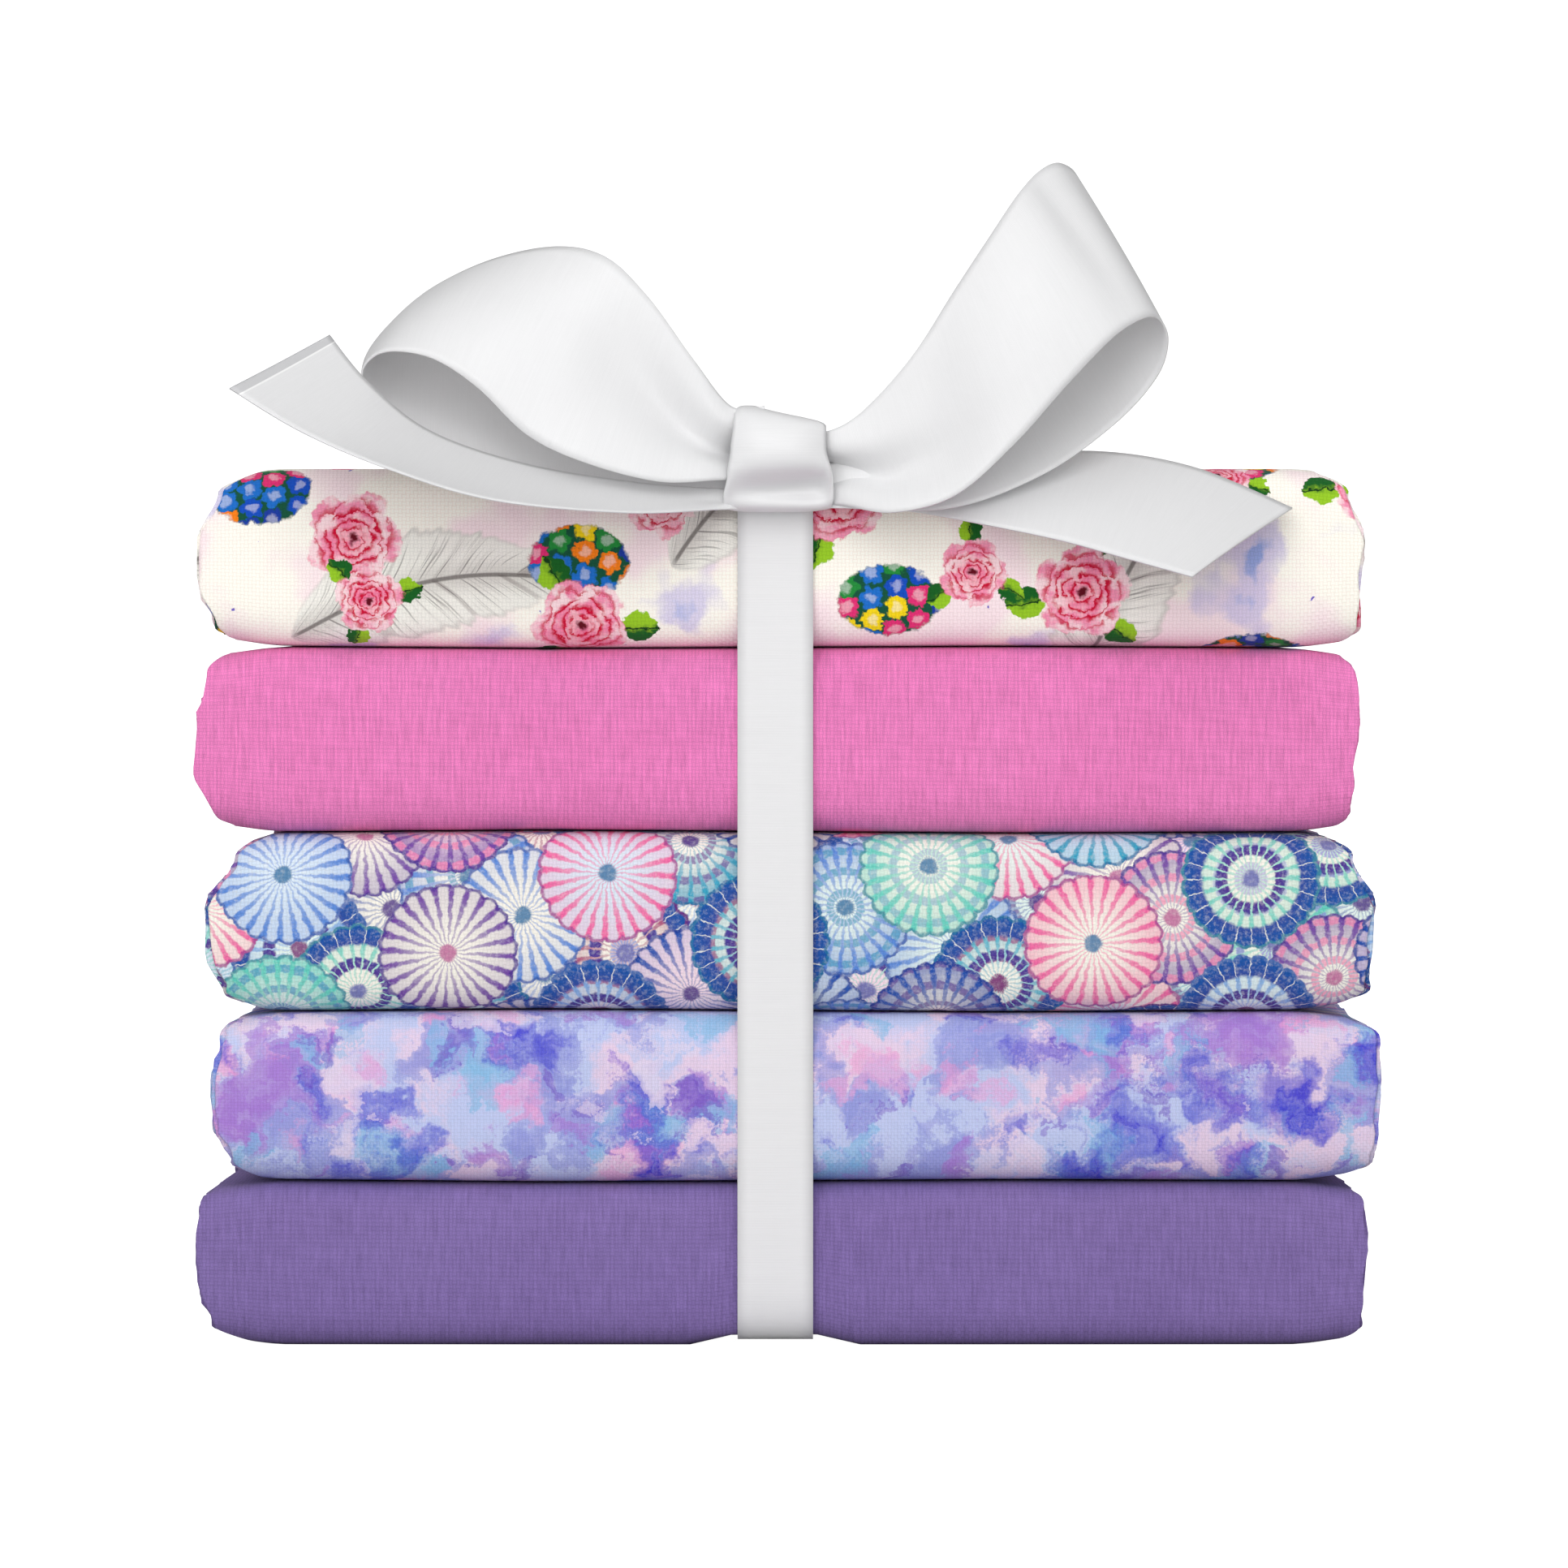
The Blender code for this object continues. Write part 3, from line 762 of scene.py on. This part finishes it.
def cotton(name, paint, pitch, contrast, slub):
    """Matt cotton: the thread's pitch in mm, how strongly painted light and shade on the threads
    changes the colour, and how much slubs change it.
    """
    g = Graph(name)
    u, v = g.place()
    colour = paint(g, u, v)
    colour, height = weave(g, u, v, colour, pitch, contrast, slub)
    g.set(g.shader.inputs["Base Color"], colour)
    bump = g.node("ShaderNodeBump", inputs={"Strength": 0.35, "Distance": 0.00012, "Height": height})
    g.set(g.shader.inputs["Normal"], bump)
    g.shader.inputs["Roughness"].default_value = 0.92
    g.shader.inputs["Specular IOR Level"].default_value = 0.15
    g.shader.inputs["Sheen Weight"].default_value = 0.08
    g.shader.inputs["Sheen Roughness"].default_value = 0.5
    return g.material


def plain(darker, lighter):
    def paint(g, u, v):
        return g.mix(g.noise(g.point(u, v), 0.05, 2.0), linear(darker), linear(lighter))
    return paint


def clouded(g, u, v):
    """Dye that ran and pooled: pale rose and lavender with blue and violet pools."""
    spot = g.point(u, v)
    bent = g.noise(spot, 0.16, 4.0, 0.6, out=1)
    bent = g.node("ShaderNodeVectorMath", inputs={0: bent, 1: (0.5, 0.5, 0.5)}, operation="SUBTRACT")
    bent = g.node("ShaderNodeVectorMath", inputs={0: bent, "Scale": 13.0}, operation="SCALE")
    spot = g.node("ShaderNodeVectorMath", inputs={0: spot, 1: bent}, operation="ADD")
    grain = (g.noise(g.point(u, v, 5.0), 2.6, 3.0, 0.7) - 0.5) * 0.10
    u, v, _ = g.split(spot)

    def pool(seed, scale):
        return g.noise(g.point(u, v, seed), scale, 3.0, 0.55) + grain

    colour = g.mix(g.step(pool(3.0, 0.07), 0.45, 0.56),
                   linear((228, 205, 228)), linear((190, 200, 236)))
    for dye in POOLS:
        depth = pool(dye.seed, dye.scale)
        core = g.step(depth, dye.high, dye.high + 0.07)
        share = g.step(depth, dye.low, dye.high) * (0.70 + 0.30 * core)
        colour = g.mix(share * dye.strength, colour, linear(dye.tint))
    mottle = g.noise(g.point(u, v, 70.0), 0.5, 4.0, 0.65)
    return g.mix(g.step(mottle, 0.42, 0.68) * 0.24, colour, linear((206, 204, 238)))


# Dye pools, in the order in which they cover each other
Pool = namedtuple("Pool", "seed scale low high strength tint")
POOLS = (
    Pool(11.0, 0.085, 0.500, 0.530, 0.85, (140, 146, 216)),
    Pool(19.0, 0.080, 0.545, 0.580, 0.85, (168, 118, 208)),
    Pool(27.0, 0.095, 0.585, 0.640, 0.75, (236, 158, 210)),
    Pool(35.0, 0.090, 0.580, 0.610, 0.80, (124, 186, 226)),
    Pool(43.0, 0.085, 0.545, 0.640, 0.95, (56, 54, 204)),
    Pool(51.0, 0.120, 0.610, 0.640, 0.80, (116, 84, 196)),
    Pool(59.0, 0.075, 0.590, 0.605, 0.85, (226, 212, 234)),
)


# A layer of a print's motifs, one in each cell: how far the cells are shifted, their size, how far
# each column of them drops as a share of a cell, the seed of their random numbers, how far a motif
# may stray from its cell's middle, and the motif's reach
Layer = namedtuple("Layer", "shift_u shift_v width height drop seed jitter size")


def cells(g, u, v, layer):
    """A point's place from its motif's middle, and the random numbers of its cell."""
    u = u + layer.shift_u
    v = v + layer.shift_v
    column = g.math("FLOOR", u * (1 / layer.width))
    fall = v + column * (layer.drop * layer.height)
    row = g.math("FLOOR", fall * (1 / layer.height))
    numbers = g.chance(g.point(column, row, layer.seed))
    x = u - (column + 0.5) * layer.width + (numbers[1] - 0.5) * (2 * layer.jitter)
    y = fall - (row + 0.5) * layer.height + (numbers[2] - 0.5) * (2 * layer.jitter)
    return x, y, numbers


def wobbled(g, spot, u, v, scale, far):
    """The place moved by noise, so that a print's outlines look painted by hand."""
    du, dv, _ = g.split(g.noise(spot, scale, 3.0, 0.6, out=1))
    return u + (du - 0.5) * far, v + (dv - 0.5) * far


def polar(g, x, y):
    radius = g.math("SQRT", x * x + y * y)
    return radius, g.math("ARCTAN2", y, x)


def petal_edge(g, angle, count, phase, depth):
    wave = g.math("ABSOLUTE", g.math("SINE", angle * (count / 2) + phase))
    return 1.0 - (1.0 - wave) * depth


PLUMES = Layer(23.0, 3.0, 44.0, 34.0, 0.5, 3.0, 2.0, 19.0)
POSIES = Layer(6.0, 20.0, 43.0, 31.0, 0.3, 5.0, 3.0, 4.9)
POSY_FLOWERS = Layer(0.0, 0.0, 3.1, 2.9, 0.5, 11.0, 0.3, 1.75)
# Two layers of large flowers, and the share of each that has leaves
FLOWERS = (
    (Layer(9.0, 5.5, 33.0, 29.0, 0.45, 1.0, 4.0, 6.4), 0.6),
    (Layer(72.0, 44.0, 37.0, 26.0, 0.45, 8.0, 4.0, 4.6), 0.35),
)
# The rings of a layered flower, from the outside in
Ring = namedtuple("Ring", "reach petals depth")
RINGS = (
    Ring(1.0, 5, 0.20),
    Ring(0.78, 5, 0.18),
    Ring(0.57, 4, 0.18),
    Ring(0.38, 3, 0.22),
    Ring(0.21, 3, 0.25),
)
POSY_COLOURS = (
    (20, 78, 190),
    (244, 214, 24),
    (246, 128, 24),
    (30, 110, 200),
    (226, 48, 116),
    (36, 140, 60),
    (28, 60, 160),
)
FULL_TURN = 6.28


def blossom(g, x, y, size, numbers):
    """A round layered flower in washes of pink, with crimson strokes under each petal."""
    radius, angle = polar(g, x, y)
    radius = radius / size
    turn = numbers[3] * FULL_TURN
    edges = [petal_edge(g, angle + radius * 1.1, ring.petals, turn * (k + 1), ring.depth) * ring.reach
             for k, ring in enumerate(RINGS)]
    share = None
    for k, edge in enumerate(edges):
        inner = edges[k + 1] if k + 1 < len(edges) else 0.0
        part = (radius - inner) / (edge - inner)
        inside = g.step(radius / edge, 1.01, 0.99)
        share = part if share is None else share + (part - share) * inside
    patches = g.noise(g.point(x, y, numbers[1] * 40.0), 0.45, 3.0)
    wash = g.mix(g.step(patches, 0.38, 0.62), linear((253, 222, 226)), linear((244, 150, 180)))
    wash = g.mix(g.step(radius, 0.75, 0.1) * 0.5, wash, linear((238, 84, 130)))
    stroke = g.step(share, 0.55, 0.10) * g.step(patches, 0.34, 0.46) * g.step(radius, 1.25, 0.5)
    colour = g.mix(stroke, wash, linear((204, 6, 52)))
    rim = g.step(share, 0.80, 0.97) * g.step(patches, 0.40, 0.55)
    colour = g.mix(rim * 0.7, colour, linear((226, 52, 104)))
    colour = g.mix(g.step(radius, 0.15, 0.05), colour, linear((96, 6, 26)))
    return colour, g.step(radius / edges[0], 1.03, 0.95)


def leaves(g, x, y, reach, width, numbers):
    """Three leaves that stand out from under a flower."""
    radius, angle = polar(g, x, y)
    third = 2 * math.pi / 3
    turned = angle + numbers[0] * FULL_TURN + 20.0
    local = g.math("MODULO", turned, third) - third / 2
    a = radius * g.math("COSINE", local) / reach
    b = radius * g.math("SINE", local) / width
    body = 4.0 * (a - 0.45) * (1.0 - a) / 0.3
    inside = g.step(body - g.math("ABSOLUTE", b), -0.04, 0.06)
    vein = g.step(g.math("ABSOLUTE", b), 0.02, 0.10)
    patches = g.noise(g.point(x, y, 4.0), 0.9, 2.0)
    colour = g.mix(g.step(b + patches, 0.2, 0.9), linear((22, 96, 34)), linear((150, 200, 40)))
    return g.mix(vein, linear((14, 58, 22)), colour), inside


def floral(g, u, v):
    """Cream cotton with layered pink flowers, leaves, posies and grey feathery plumes."""
    spot = g.point(u, v)
    calm = (u, v)
    u, v = wobbled(g, spot, u, v, 0.8, 1.9)
    cloud = g.noise(spot, 0.06, 3.0)
    other = g.noise(g.point(u, v, 30.0), 0.055, 3.0)
    colour = g.mix(g.step(cloud, 0.48, 0.62), linear((255, 251, 240)), linear((252, 231, 235)))
    colour = g.mix(g.step(other, 0.55, 0.62) * 0.75, colour, linear((206, 198, 234)))
    colour = g.mix(g.step(other, 0.635, 0.67) * 0.8, colour, linear((132, 160, 224)))
    specks = g.noise(g.point(u, v, 60.0), 0.55, 1.0)
    colour = g.mix(g.step(specks, 0.76, 0.79), colour, linear((112, 96, 196)))
    colour = plumes(g, *calm, colour)
    colour = posies(g, u, v, colour)
    for layer, green in FLOWERS:
        x, y, numbers = cells(g, u, v, layer)
        leaf, inside = leaves(g, x, y, layer.size * 1.6, layer.size * 0.34, numbers)
        leafy = g.step(numbers[2], green, green - 0.02)
        colour = g.mix(inside * leafy, colour, leaf)
        flower, inside = blossom(g, x, y, layer.size, numbers)
        colour = g.mix(inside, colour, flower)
    return colour


def plumes(g, u, v, colour):
    """Large soft grey feathers: a curved quill, and fine barbs that part here and there."""
    x, y, numbers = cells(g, u, v, PLUMES)
    turn = (numbers[0] - 0.5) * 1.3 + 0.9
    c = g.math("COSINE", turn)
    s = g.math("SINE", turn)
    off = x * c - y * s
    b = x * s + y * c
    off = off - (b * b * 0.011 - 1.5)
    side = g.math("ABSOLUTE", off)
    share = b * (1 / PLUMES.size)
    full = 1.0 - share * share
    envelope = g.math("POWER", g.math("MAXIMUM", full, 0.0), 0.6) * (7.6 - share * 1.6)
    lane = b - side * 1.15 + side * side * 0.035
    drift = g.noise(g.point(off * 0.10, b * 0.07, 17.0), 1.0, 1.0)
    lane = lane + drift * 5.0
    clump = g.noise(g.point(lane * 0.42, g.math("SIGN", off), 9.0), 1.0, 1.0)
    reach = envelope * (0.62 + clump * 0.62)
    inside = g.step(reach - side, 0.0, 0.9)
    fine = g.noise(g.point(lane * 2.1, side * 0.10, 31.0), 1.0, 2.0, 0.7)
    strokes = g.step(fine, 0.53, 0.66) * g.step(side / reach, 1.2, 0.25)
    parted = g.step(clump, 0.46, 0.34)
    shadow = g.step(side, 3.0, 0.2) * 0.35 + parted * 0.45
    rim = g.step(side / reach, 0.80, 0.98) * 0.55
    quill = g.step(side, 0.42, 0.14) * g.step(full, 0.0, 0.15)
    colour = g.mix(inside * 0.9, colour, linear((242, 241, 233)))
    colour = g.mix(inside * g.math("MAXIMUM", shadow, rim), colour, linear((164, 156, 152)))
    dark = g.math("MAXIMUM", strokes * inside * 0.62, quill * 0.75)
    return g.mix(dark, colour, linear((88, 80, 78)))


def posies(g, u, v, colour):
    """Bunches of tiny bright flowers."""
    x, y, _ = cells(g, u, v, POSIES)
    radius, _ = polar(g, x * 0.72, y)
    bunch = g.step(radius, POSIES.size, POSIES.size - 0.5)
    a, b, inner = cells(g, u, v, POSY_FLOWERS)
    small, angle = polar(g, a, b)
    edge = petal_edge(g, angle, 5, inner[1] * FULL_TURN, 0.25) * POSY_FLOWERS.size
    hue = g.choose(inner[0], POSY_COLOURS)
    light = g.mix(0.45, hue, (1.0, 1.0, 1.0))
    hue = g.mix(g.step(small, 0.9, 0.5) * 0.7, hue, light)
    ground = g.mix(bunch, colour, linear((20, 84, 60)))
    return g.mix(bunch * g.step(small / edge, 1.04, 0.85), ground, hue)


# The layers of rounds, each over the one before
ROUNDS = (
    Layer(0.0, 0.0, 21.0, 20.0, 0.5, 20.0, 1.2, 9.8),
    Layer(10.0, 6.0, 21.0, 20.0, 0.5, 21.0, 1.2, 9.4),
    Layer(3.0, 11.0, 21.0, 20.0, 0.5, 22.0, 1.2, 9.0),
    Layer(13.0, -4.0, 21.0, 20.0, 0.5, 23.0, 1.2, 9.2),
)
ROUND_MAINS = (
    (26, 78, 170),
    (44, 158, 190),
    (112, 66, 160),
    (236, 98, 158),
    (84, 132, 210),
    (96, 204, 188),
    (164, 30, 104),
    (110, 160, 220),
    (52, 170, 196),
)
ROUND_SECONDS = (
    (94, 60, 150),
    (236, 134, 176),
    (60, 150, 190),
    (120, 130, 205),
    (150, 50, 120),
)
ROUND_PALES = (
    (246, 244, 232),
    (228, 242, 236),
    (216, 230, 242),
    (246, 242, 230),
    (246, 222, 232),
)
ROUND_RAYS = 24


def rosette(g, x, y, size, numbers, grain):
    """One round: rays from a heart, with rings of dashes and a darker outline."""
    radius, angle = polar(g, x, y)
    radius = radius * (1 / size)
    wave = g.math("ABSOLUTE", g.math("SINE", angle * (ROUND_RAYS / 2) + numbers[3] * FULL_TURN))
    edge = 1.0 - (1.0 - wave) * 0.045
    main = g.choose(numbers[0], ROUND_MAINS)
    second = g.choose(numbers[1], ROUND_SECONDS)
    pale = g.choose(numbers[2], ROUND_PALES)
    groove = g.step(wave, 0.78, 0.35)
    towards = g.step(radius, 0.12, 1.0)
    colour = g.mix(groove * (0.45 + towards * 0.55), pale, main)
    colour = g.mix(towards * (0.24 + numbers[3] * 0.58), colour, main)
    rows = g.math("SINE", radius * 21.0 + numbers[1] * FULL_TURN)
    dashes = g.step(rows, 0.15, 0.6) * g.step(wave, 0.35, 0.7) * g.step(numbers[3], 0.45, 0.5)
    colour = g.mix(dashes * 0.75, colour, second)
    bold = g.step(numbers[1] + numbers[2] * 0.3, 0.78, 0.80)
    wide = g.step(radius, 0.66, 0.72)
    ring = g.step(g.math("ABSOLUTE", radius - 0.42), 0.10, 0.06) * g.step(wave, 0.2, 0.5)
    deep = g.mix(towards, linear((92, 48, 140)), linear((24, 84, 164)))
    colour = g.mix(bold * g.math("MAXIMUM", wide, ring), colour, deep)
    colour = g.mix(g.step(wave, 0.16, 0.05) * wide * bold * 0.8, colour, linear((236, 236, 228)))
    outline = g.step(radius / edge, 0.93, 0.965)
    colour = g.mix(outline * 0.85, colour, g.mix(0.6, main, linear((34, 44, 130))))
    heart = g.step(radius, 0.15, 0.10)
    colour = g.mix(heart * 0.9, colour, g.mix(0.4, second, linear((60, 30, 110))))
    colour = g.mix(g.step(grain, 0.45, 0.75) * 0.32, colour, linear((238, 238, 232)))
    return colour, g.step(radius / edge, 1.01, 0.985)


def rosettes(g, u, v):
    """Round many-rayed flowers that overlap and cover the cloth."""
    spot = g.point(u, v)
    u, v = wobbled(g, spot, u, v, 0.9, 0.9)
    colour = linear((70, 120, 190))
    grain = g.noise(spot, 1.5, 4.0, 0.7)
    for layer in ROUNDS:
        x, y, numbers = cells(g, u, v, layer)
        disc, inside = rosette(g, x, y, layer.size, numbers, grain)
        colour = g.mix(inside, colour, disc)
    return colour


def satin():
    """White satin: fine lines along the ribbon's width, and a hem where v ends at 0."""
    g = Graph("satin")
    u, v = g.place()
    lines = g.math("SINE", v * (2 * math.pi / SATIN_PITCH))
    fine = g.noise(g.point(u * 0.15, v * 4.0), 1.0, 2.0)
    tone = g.mix(fine, linear((225, 225, 226)), linear((231, 231, 232)))
    hem = g.step(v, -HEM_DEEP, 0.1 - HEM_DEEP) * g.step(v, 0.01, 0.0)
    line = g.step(g.math("ABSOLUTE", v + HEM_LINE), 0.16, 0.08)
    tone = g.mix(hem, tone, linear((202, 202, 204)))
    tone = g.mix(line, tone, linear((244, 244, 244)))
    g.set(g.shader.inputs["Base Color"], tone)
    bump = g.node("ShaderNodeBump", inputs={"Strength": 0.10, "Distance": 0.00003, "Height": lines})
    g.set(g.shader.inputs["Normal"], bump)
    g.shader.inputs["Roughness"].default_value = 0.42
    g.shader.inputs["Specular IOR Level"].default_value = 0.45
    g.shader.inputs["Sheen Weight"].default_value = 0.08
    g.shader.inputs["Sheen Roughness"].default_value = 0.35
    return g.material


# The pieces


def band_grid():
    """Once round the stack, just outside the cloth, as (distance behind the front, height)."""
    front = min(cut.front for cut in CUTS) - BAND_STANDS_OFF
    back = PACKET_DEPTH + BAND_STANDS_OFF
    corners = []
    for number, half in ((0, -1), (TOP_CUT, 1)):
        low, high = cut_limits(number, BAND_MIDDLE)
        centre = CUTS[number].front + NOSE_REACH
        tall = (high - low + CLOTH_THICK) / 2 + BAND_STANDS_OFF
        turns = [math.pi / 2 * step / 24 for step in range(25)]
        arcs = [squared_arc(turn, NOSE_POWER) for turn in turns]
        corner = [(centre - out * (centre - front), (low + high) / 2 + half * up * tall)
                  for out, up in arcs]
        corners.append(corner)
    lowest, highest = corners
    bottom = lowest[-1][1]
    top = highest[-1][1]
    path = [*lowest[::-1], *straight(lowest[0], highest[0], 30), *highest]
    back_corners = (
        (BACK_CORNER_TOP, top - BACK_CORNER_TOP, (90, 0)),
        (BACK_CORNER_FOOT, bottom + BACK_CORNER_FOOT, (0, -90)),
    )
    for radius, middle_z, turns in back_corners:
        arc = []
        for step in range(9):
            turn = math.radians(turns[0] + (turns[1] - turns[0]) * step / 8)
            arc.append((back - radius + radius * math.cos(turn), middle_z + radius * math.sin(turn)))
        path += [*straight(path[-1], arc[0], 24), *arc]
    return [*path, *straight(path[-1], path[0], 24), path[0]]


def straight(start, end, count):
    """The points between two ends, without the ends."""
    return [tuple(a + (b - a) * k / count for a, b in zip(start, end)) for k in range(1, count)]


def band_piece():
    path = np.array(band_grid())
    runs = np.concatenate([[0], np.cumsum(np.linalg.norm(np.diff(path, axis=0), axis=1))])
    share = np.linspace(0, 1, 7)
    x = BAND_MIDDLE + BAND_WIDTH * (share - 0.5)
    grid = np.zeros((len(path), len(share), 3))
    grid[:, :, 0] = x
    grid[:, :, 1] = path[:, :1] + STACK_FRONT
    grid[:, :, 2] = path[:, 1:]
    return ribbon_sheet("satin_band", grid, runs, share, BAND_WIDTH), runs[-1]


def knot_piece():
    """The turn of ribbon over the bow's middle: a soft tube, pinched at its two open sides."""
    low = KNOT_HEIGHTS[0]
    high = KNOT_HEIGHTS[-1]
    middle = (low + high) / 2
    share = np.linspace(0, 1, KNOT_ACROSS + 1)
    grid = np.zeros((KNOT_AROUND + 1, KNOT_ACROSS + 1, 3))
    for i in range(KNOT_AROUND + 1):
        turn = -2 * math.pi * i / KNOT_AROUND + KNOT_SEAM
        out, up = squared_arc(turn, KNOT_POWER)
        for j, s in enumerate(share):
            off = abs(2 * s - 1)
            z = middle + up * (high - low) / 2 * (1 - 0.08 * off ** 4)
            left = between(KNOT_LEFT, KNOT_HEIGHTS, z)
            right = between(KNOT_RIGHT, KNOT_HEIGHTS, z)
            from_dent = (z - KNOT_DENT_HEIGHT - 0.4 * s) / KNOT_DENT_REACH
            crease = math.exp(-from_dent ** 2) * (0.45 + 0.55 * s)
            dip = KNOT_DENT_DEEP * crease * smooth_step(0.5 - out) * (1 - 0.9 * off ** 5)
            pinched_reach = KNOT_REACH - KNOT_FRONT_PINCH * off ** 3
            y = KNOT_MIDDLE_Y - KNOT_BACK_PINCH * off ** 3 + out * pinched_reach + dip
            y = min(y, knot_back_limit(z))
            grid[i, j] = (left + (right - left) * s, y + STACK_FRONT, z)
    ring = grid[:, KNOT_ACROSS // 2]
    runs = np.concatenate([[0], np.cumsum(np.linalg.norm(np.diff(ring, axis=0), axis=1))])
    return ribbon_sheet("satin_knot", grid, runs, share, KNOT_WIDE), runs[-1]


def knot_back_limit(z):
    """How far back the knot may reach: to the band at its foot, and further above the stack."""
    return 0.6 + 9 * smooth_step((z - 112.5) / 6)


def bend_in(rows, x):
    """The strip with its first section carried on into the knot, and back from its front."""
    first = rows[0]
    inner_y = first.middle_y + INNER_SETBACK
    inner = first._replace(far_x=x, near_x=x, middle_y=inner_y, lean=INNER_LEAN, bulge=0.0)
    return (inner, *rows)


def dress(piece, material, node, flat):
    piece.data.materials.append(material)
    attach(piece, "root")
    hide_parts(node)


def camera_and_light():
    camera = bpy.data.cameras.new("camera")
    camera.sensor_width = 36.0
    camera.lens = camera.sensor_width * CAMERA_DISTANCE / FRAME_WIDE
    camera.clip_end = 20
    eye = bpy.data.objects.new("camera", camera)
    bpy.context.scene.collection.objects.link(eye)
    aim = Vector((FRAME_CENTRE_X, STACK_FRONT, FRAME_CENTRE_Z)) * MM
    tilt = math.radians(CAMERA_TILT)
    eye.location = aim + Vector((0, -math.cos(tilt), math.sin(tilt))) * CAMERA_DISTANCE * MM
    eye.rotation_euler = (aim - eye.location).to_track_quat("-Z", "Y").to_euler()
    bpy.context.scene.camera = eye
    for row in LAMPS:
        lamp = bpy.data.lights.new(row.name, "AREA")
        lamp.energy = row.power
        lamp.size = row.size
        thing = bpy.data.objects.new(row.name, lamp)
        bpy.context.scene.collection.objects.link(thing)
        thing.location = row.place
        towards = Vector(LAMP_AIM) - thing.location
        thing.rotation_euler = towards.to_track_quat("-Z", "Y").to_euler()
    world = bpy.data.worlds.new("room")
    bpy.context.scene.world = world
    world.use_nodes = True
    world.node_tree.nodes["Background"].inputs["Color"].default_value = (1, 1, 1, 1)
    world.node_tree.nodes["Background"].inputs["Strength"].default_value = WORLD_LIGHT
    bpy.context.scene.view_settings.view_transform = "Standard"


def floor():
    """A pale floor that curves up into a wall far behind."""
    reach, turn, high = 1.6, 0.8, 2.2
    profile = [(-reach, 0.0), (reach, 0.0)]
    profile += [(reach + turn * math.sin(a), turn - turn * math.cos(a))
                for a in (math.pi / 2 * k / 12 for k in range(1, 13))]
    profile.append((reach + turn, high))
    points = [(x, y, z) for y, z in profile for x in (-4.0, 4.0)]
    faces = [(2 * i, 2 * i + 1, 2 * i + 3, 2 * i + 2) for i in range(len(profile) - 1)]
    mesh = bpy.data.meshes.new("floor")
    mesh.from_pydata(points, [], faces)
    mesh.shade_smooth()
    piece = bpy.data.objects.new("floor", mesh)
    bpy.context.scene.collection.objects.link(piece)
    material = bpy.data.materials.new("floor")
    material.use_nodes = True
    tree = material.node_tree
    shader = tree.nodes["Principled BSDF"]
    shader.inputs["Base Color"].default_value = (0.62, 0.62, 0.62, 1)
    shader.inputs["Roughness"].default_value = 0.9
    shader.inputs["Emission Color"].default_value = (1, 1, 1, 1)
    seen = tree.nodes.new("ShaderNodeLightPath").outputs["Is Camera Ray"]
    tree.links.new(seen, shader.inputs["Emission Strength"])
    mesh.materials.append(material)


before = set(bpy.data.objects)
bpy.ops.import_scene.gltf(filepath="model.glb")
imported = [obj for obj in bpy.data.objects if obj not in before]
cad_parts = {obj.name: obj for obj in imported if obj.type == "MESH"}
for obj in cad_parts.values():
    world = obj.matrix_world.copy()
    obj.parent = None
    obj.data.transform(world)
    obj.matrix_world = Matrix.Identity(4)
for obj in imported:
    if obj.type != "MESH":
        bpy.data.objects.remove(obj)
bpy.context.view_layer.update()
STACK_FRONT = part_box("cloth_clouded")[0].y / MM

camera_and_light()
floor()

Paint = namedtuple("Paint", "paint pitch contrast slub")
PAINTS = {
    "violet_cotton": Paint(plain((123, 102, 161), (133, 113, 171)), 0.5, 0.25, 0.95),
    "clouded_dye": Paint(clouded, 0.42, 0.16, 0.25),
    "rosette_print": Paint(rosettes, 0.5, 0.16, 0.10),
    "pink_cotton": Paint(plain((226, 120, 182), (233, 132, 191)), 0.46, 0.25, 0.95),
    "floral_print": Paint(floral, 0.5, 0.17, 0.08),
}
for number, cut in enumerate(CUTS):
    material = cotton(cut.slot, *PAINTS[cut.slot])
    piece = cloth_piece(number, cut)
    dress(piece, material, cut.node, YARD_CUT)

ribbon = satin()
band, length = band_piece()
dress(band, ribbon, "ribbon_band", (0.01, length * MM))
knot, length = knot_piece()
dress(knot, ribbon, "bow_knot", (0.014, length * MM))
for strip in STRIPS:
    piece, length = ribbon_strip(strip)
    dress(piece, ribbon, strip.node, (RIBBON_WIDE * MM, length * MM))
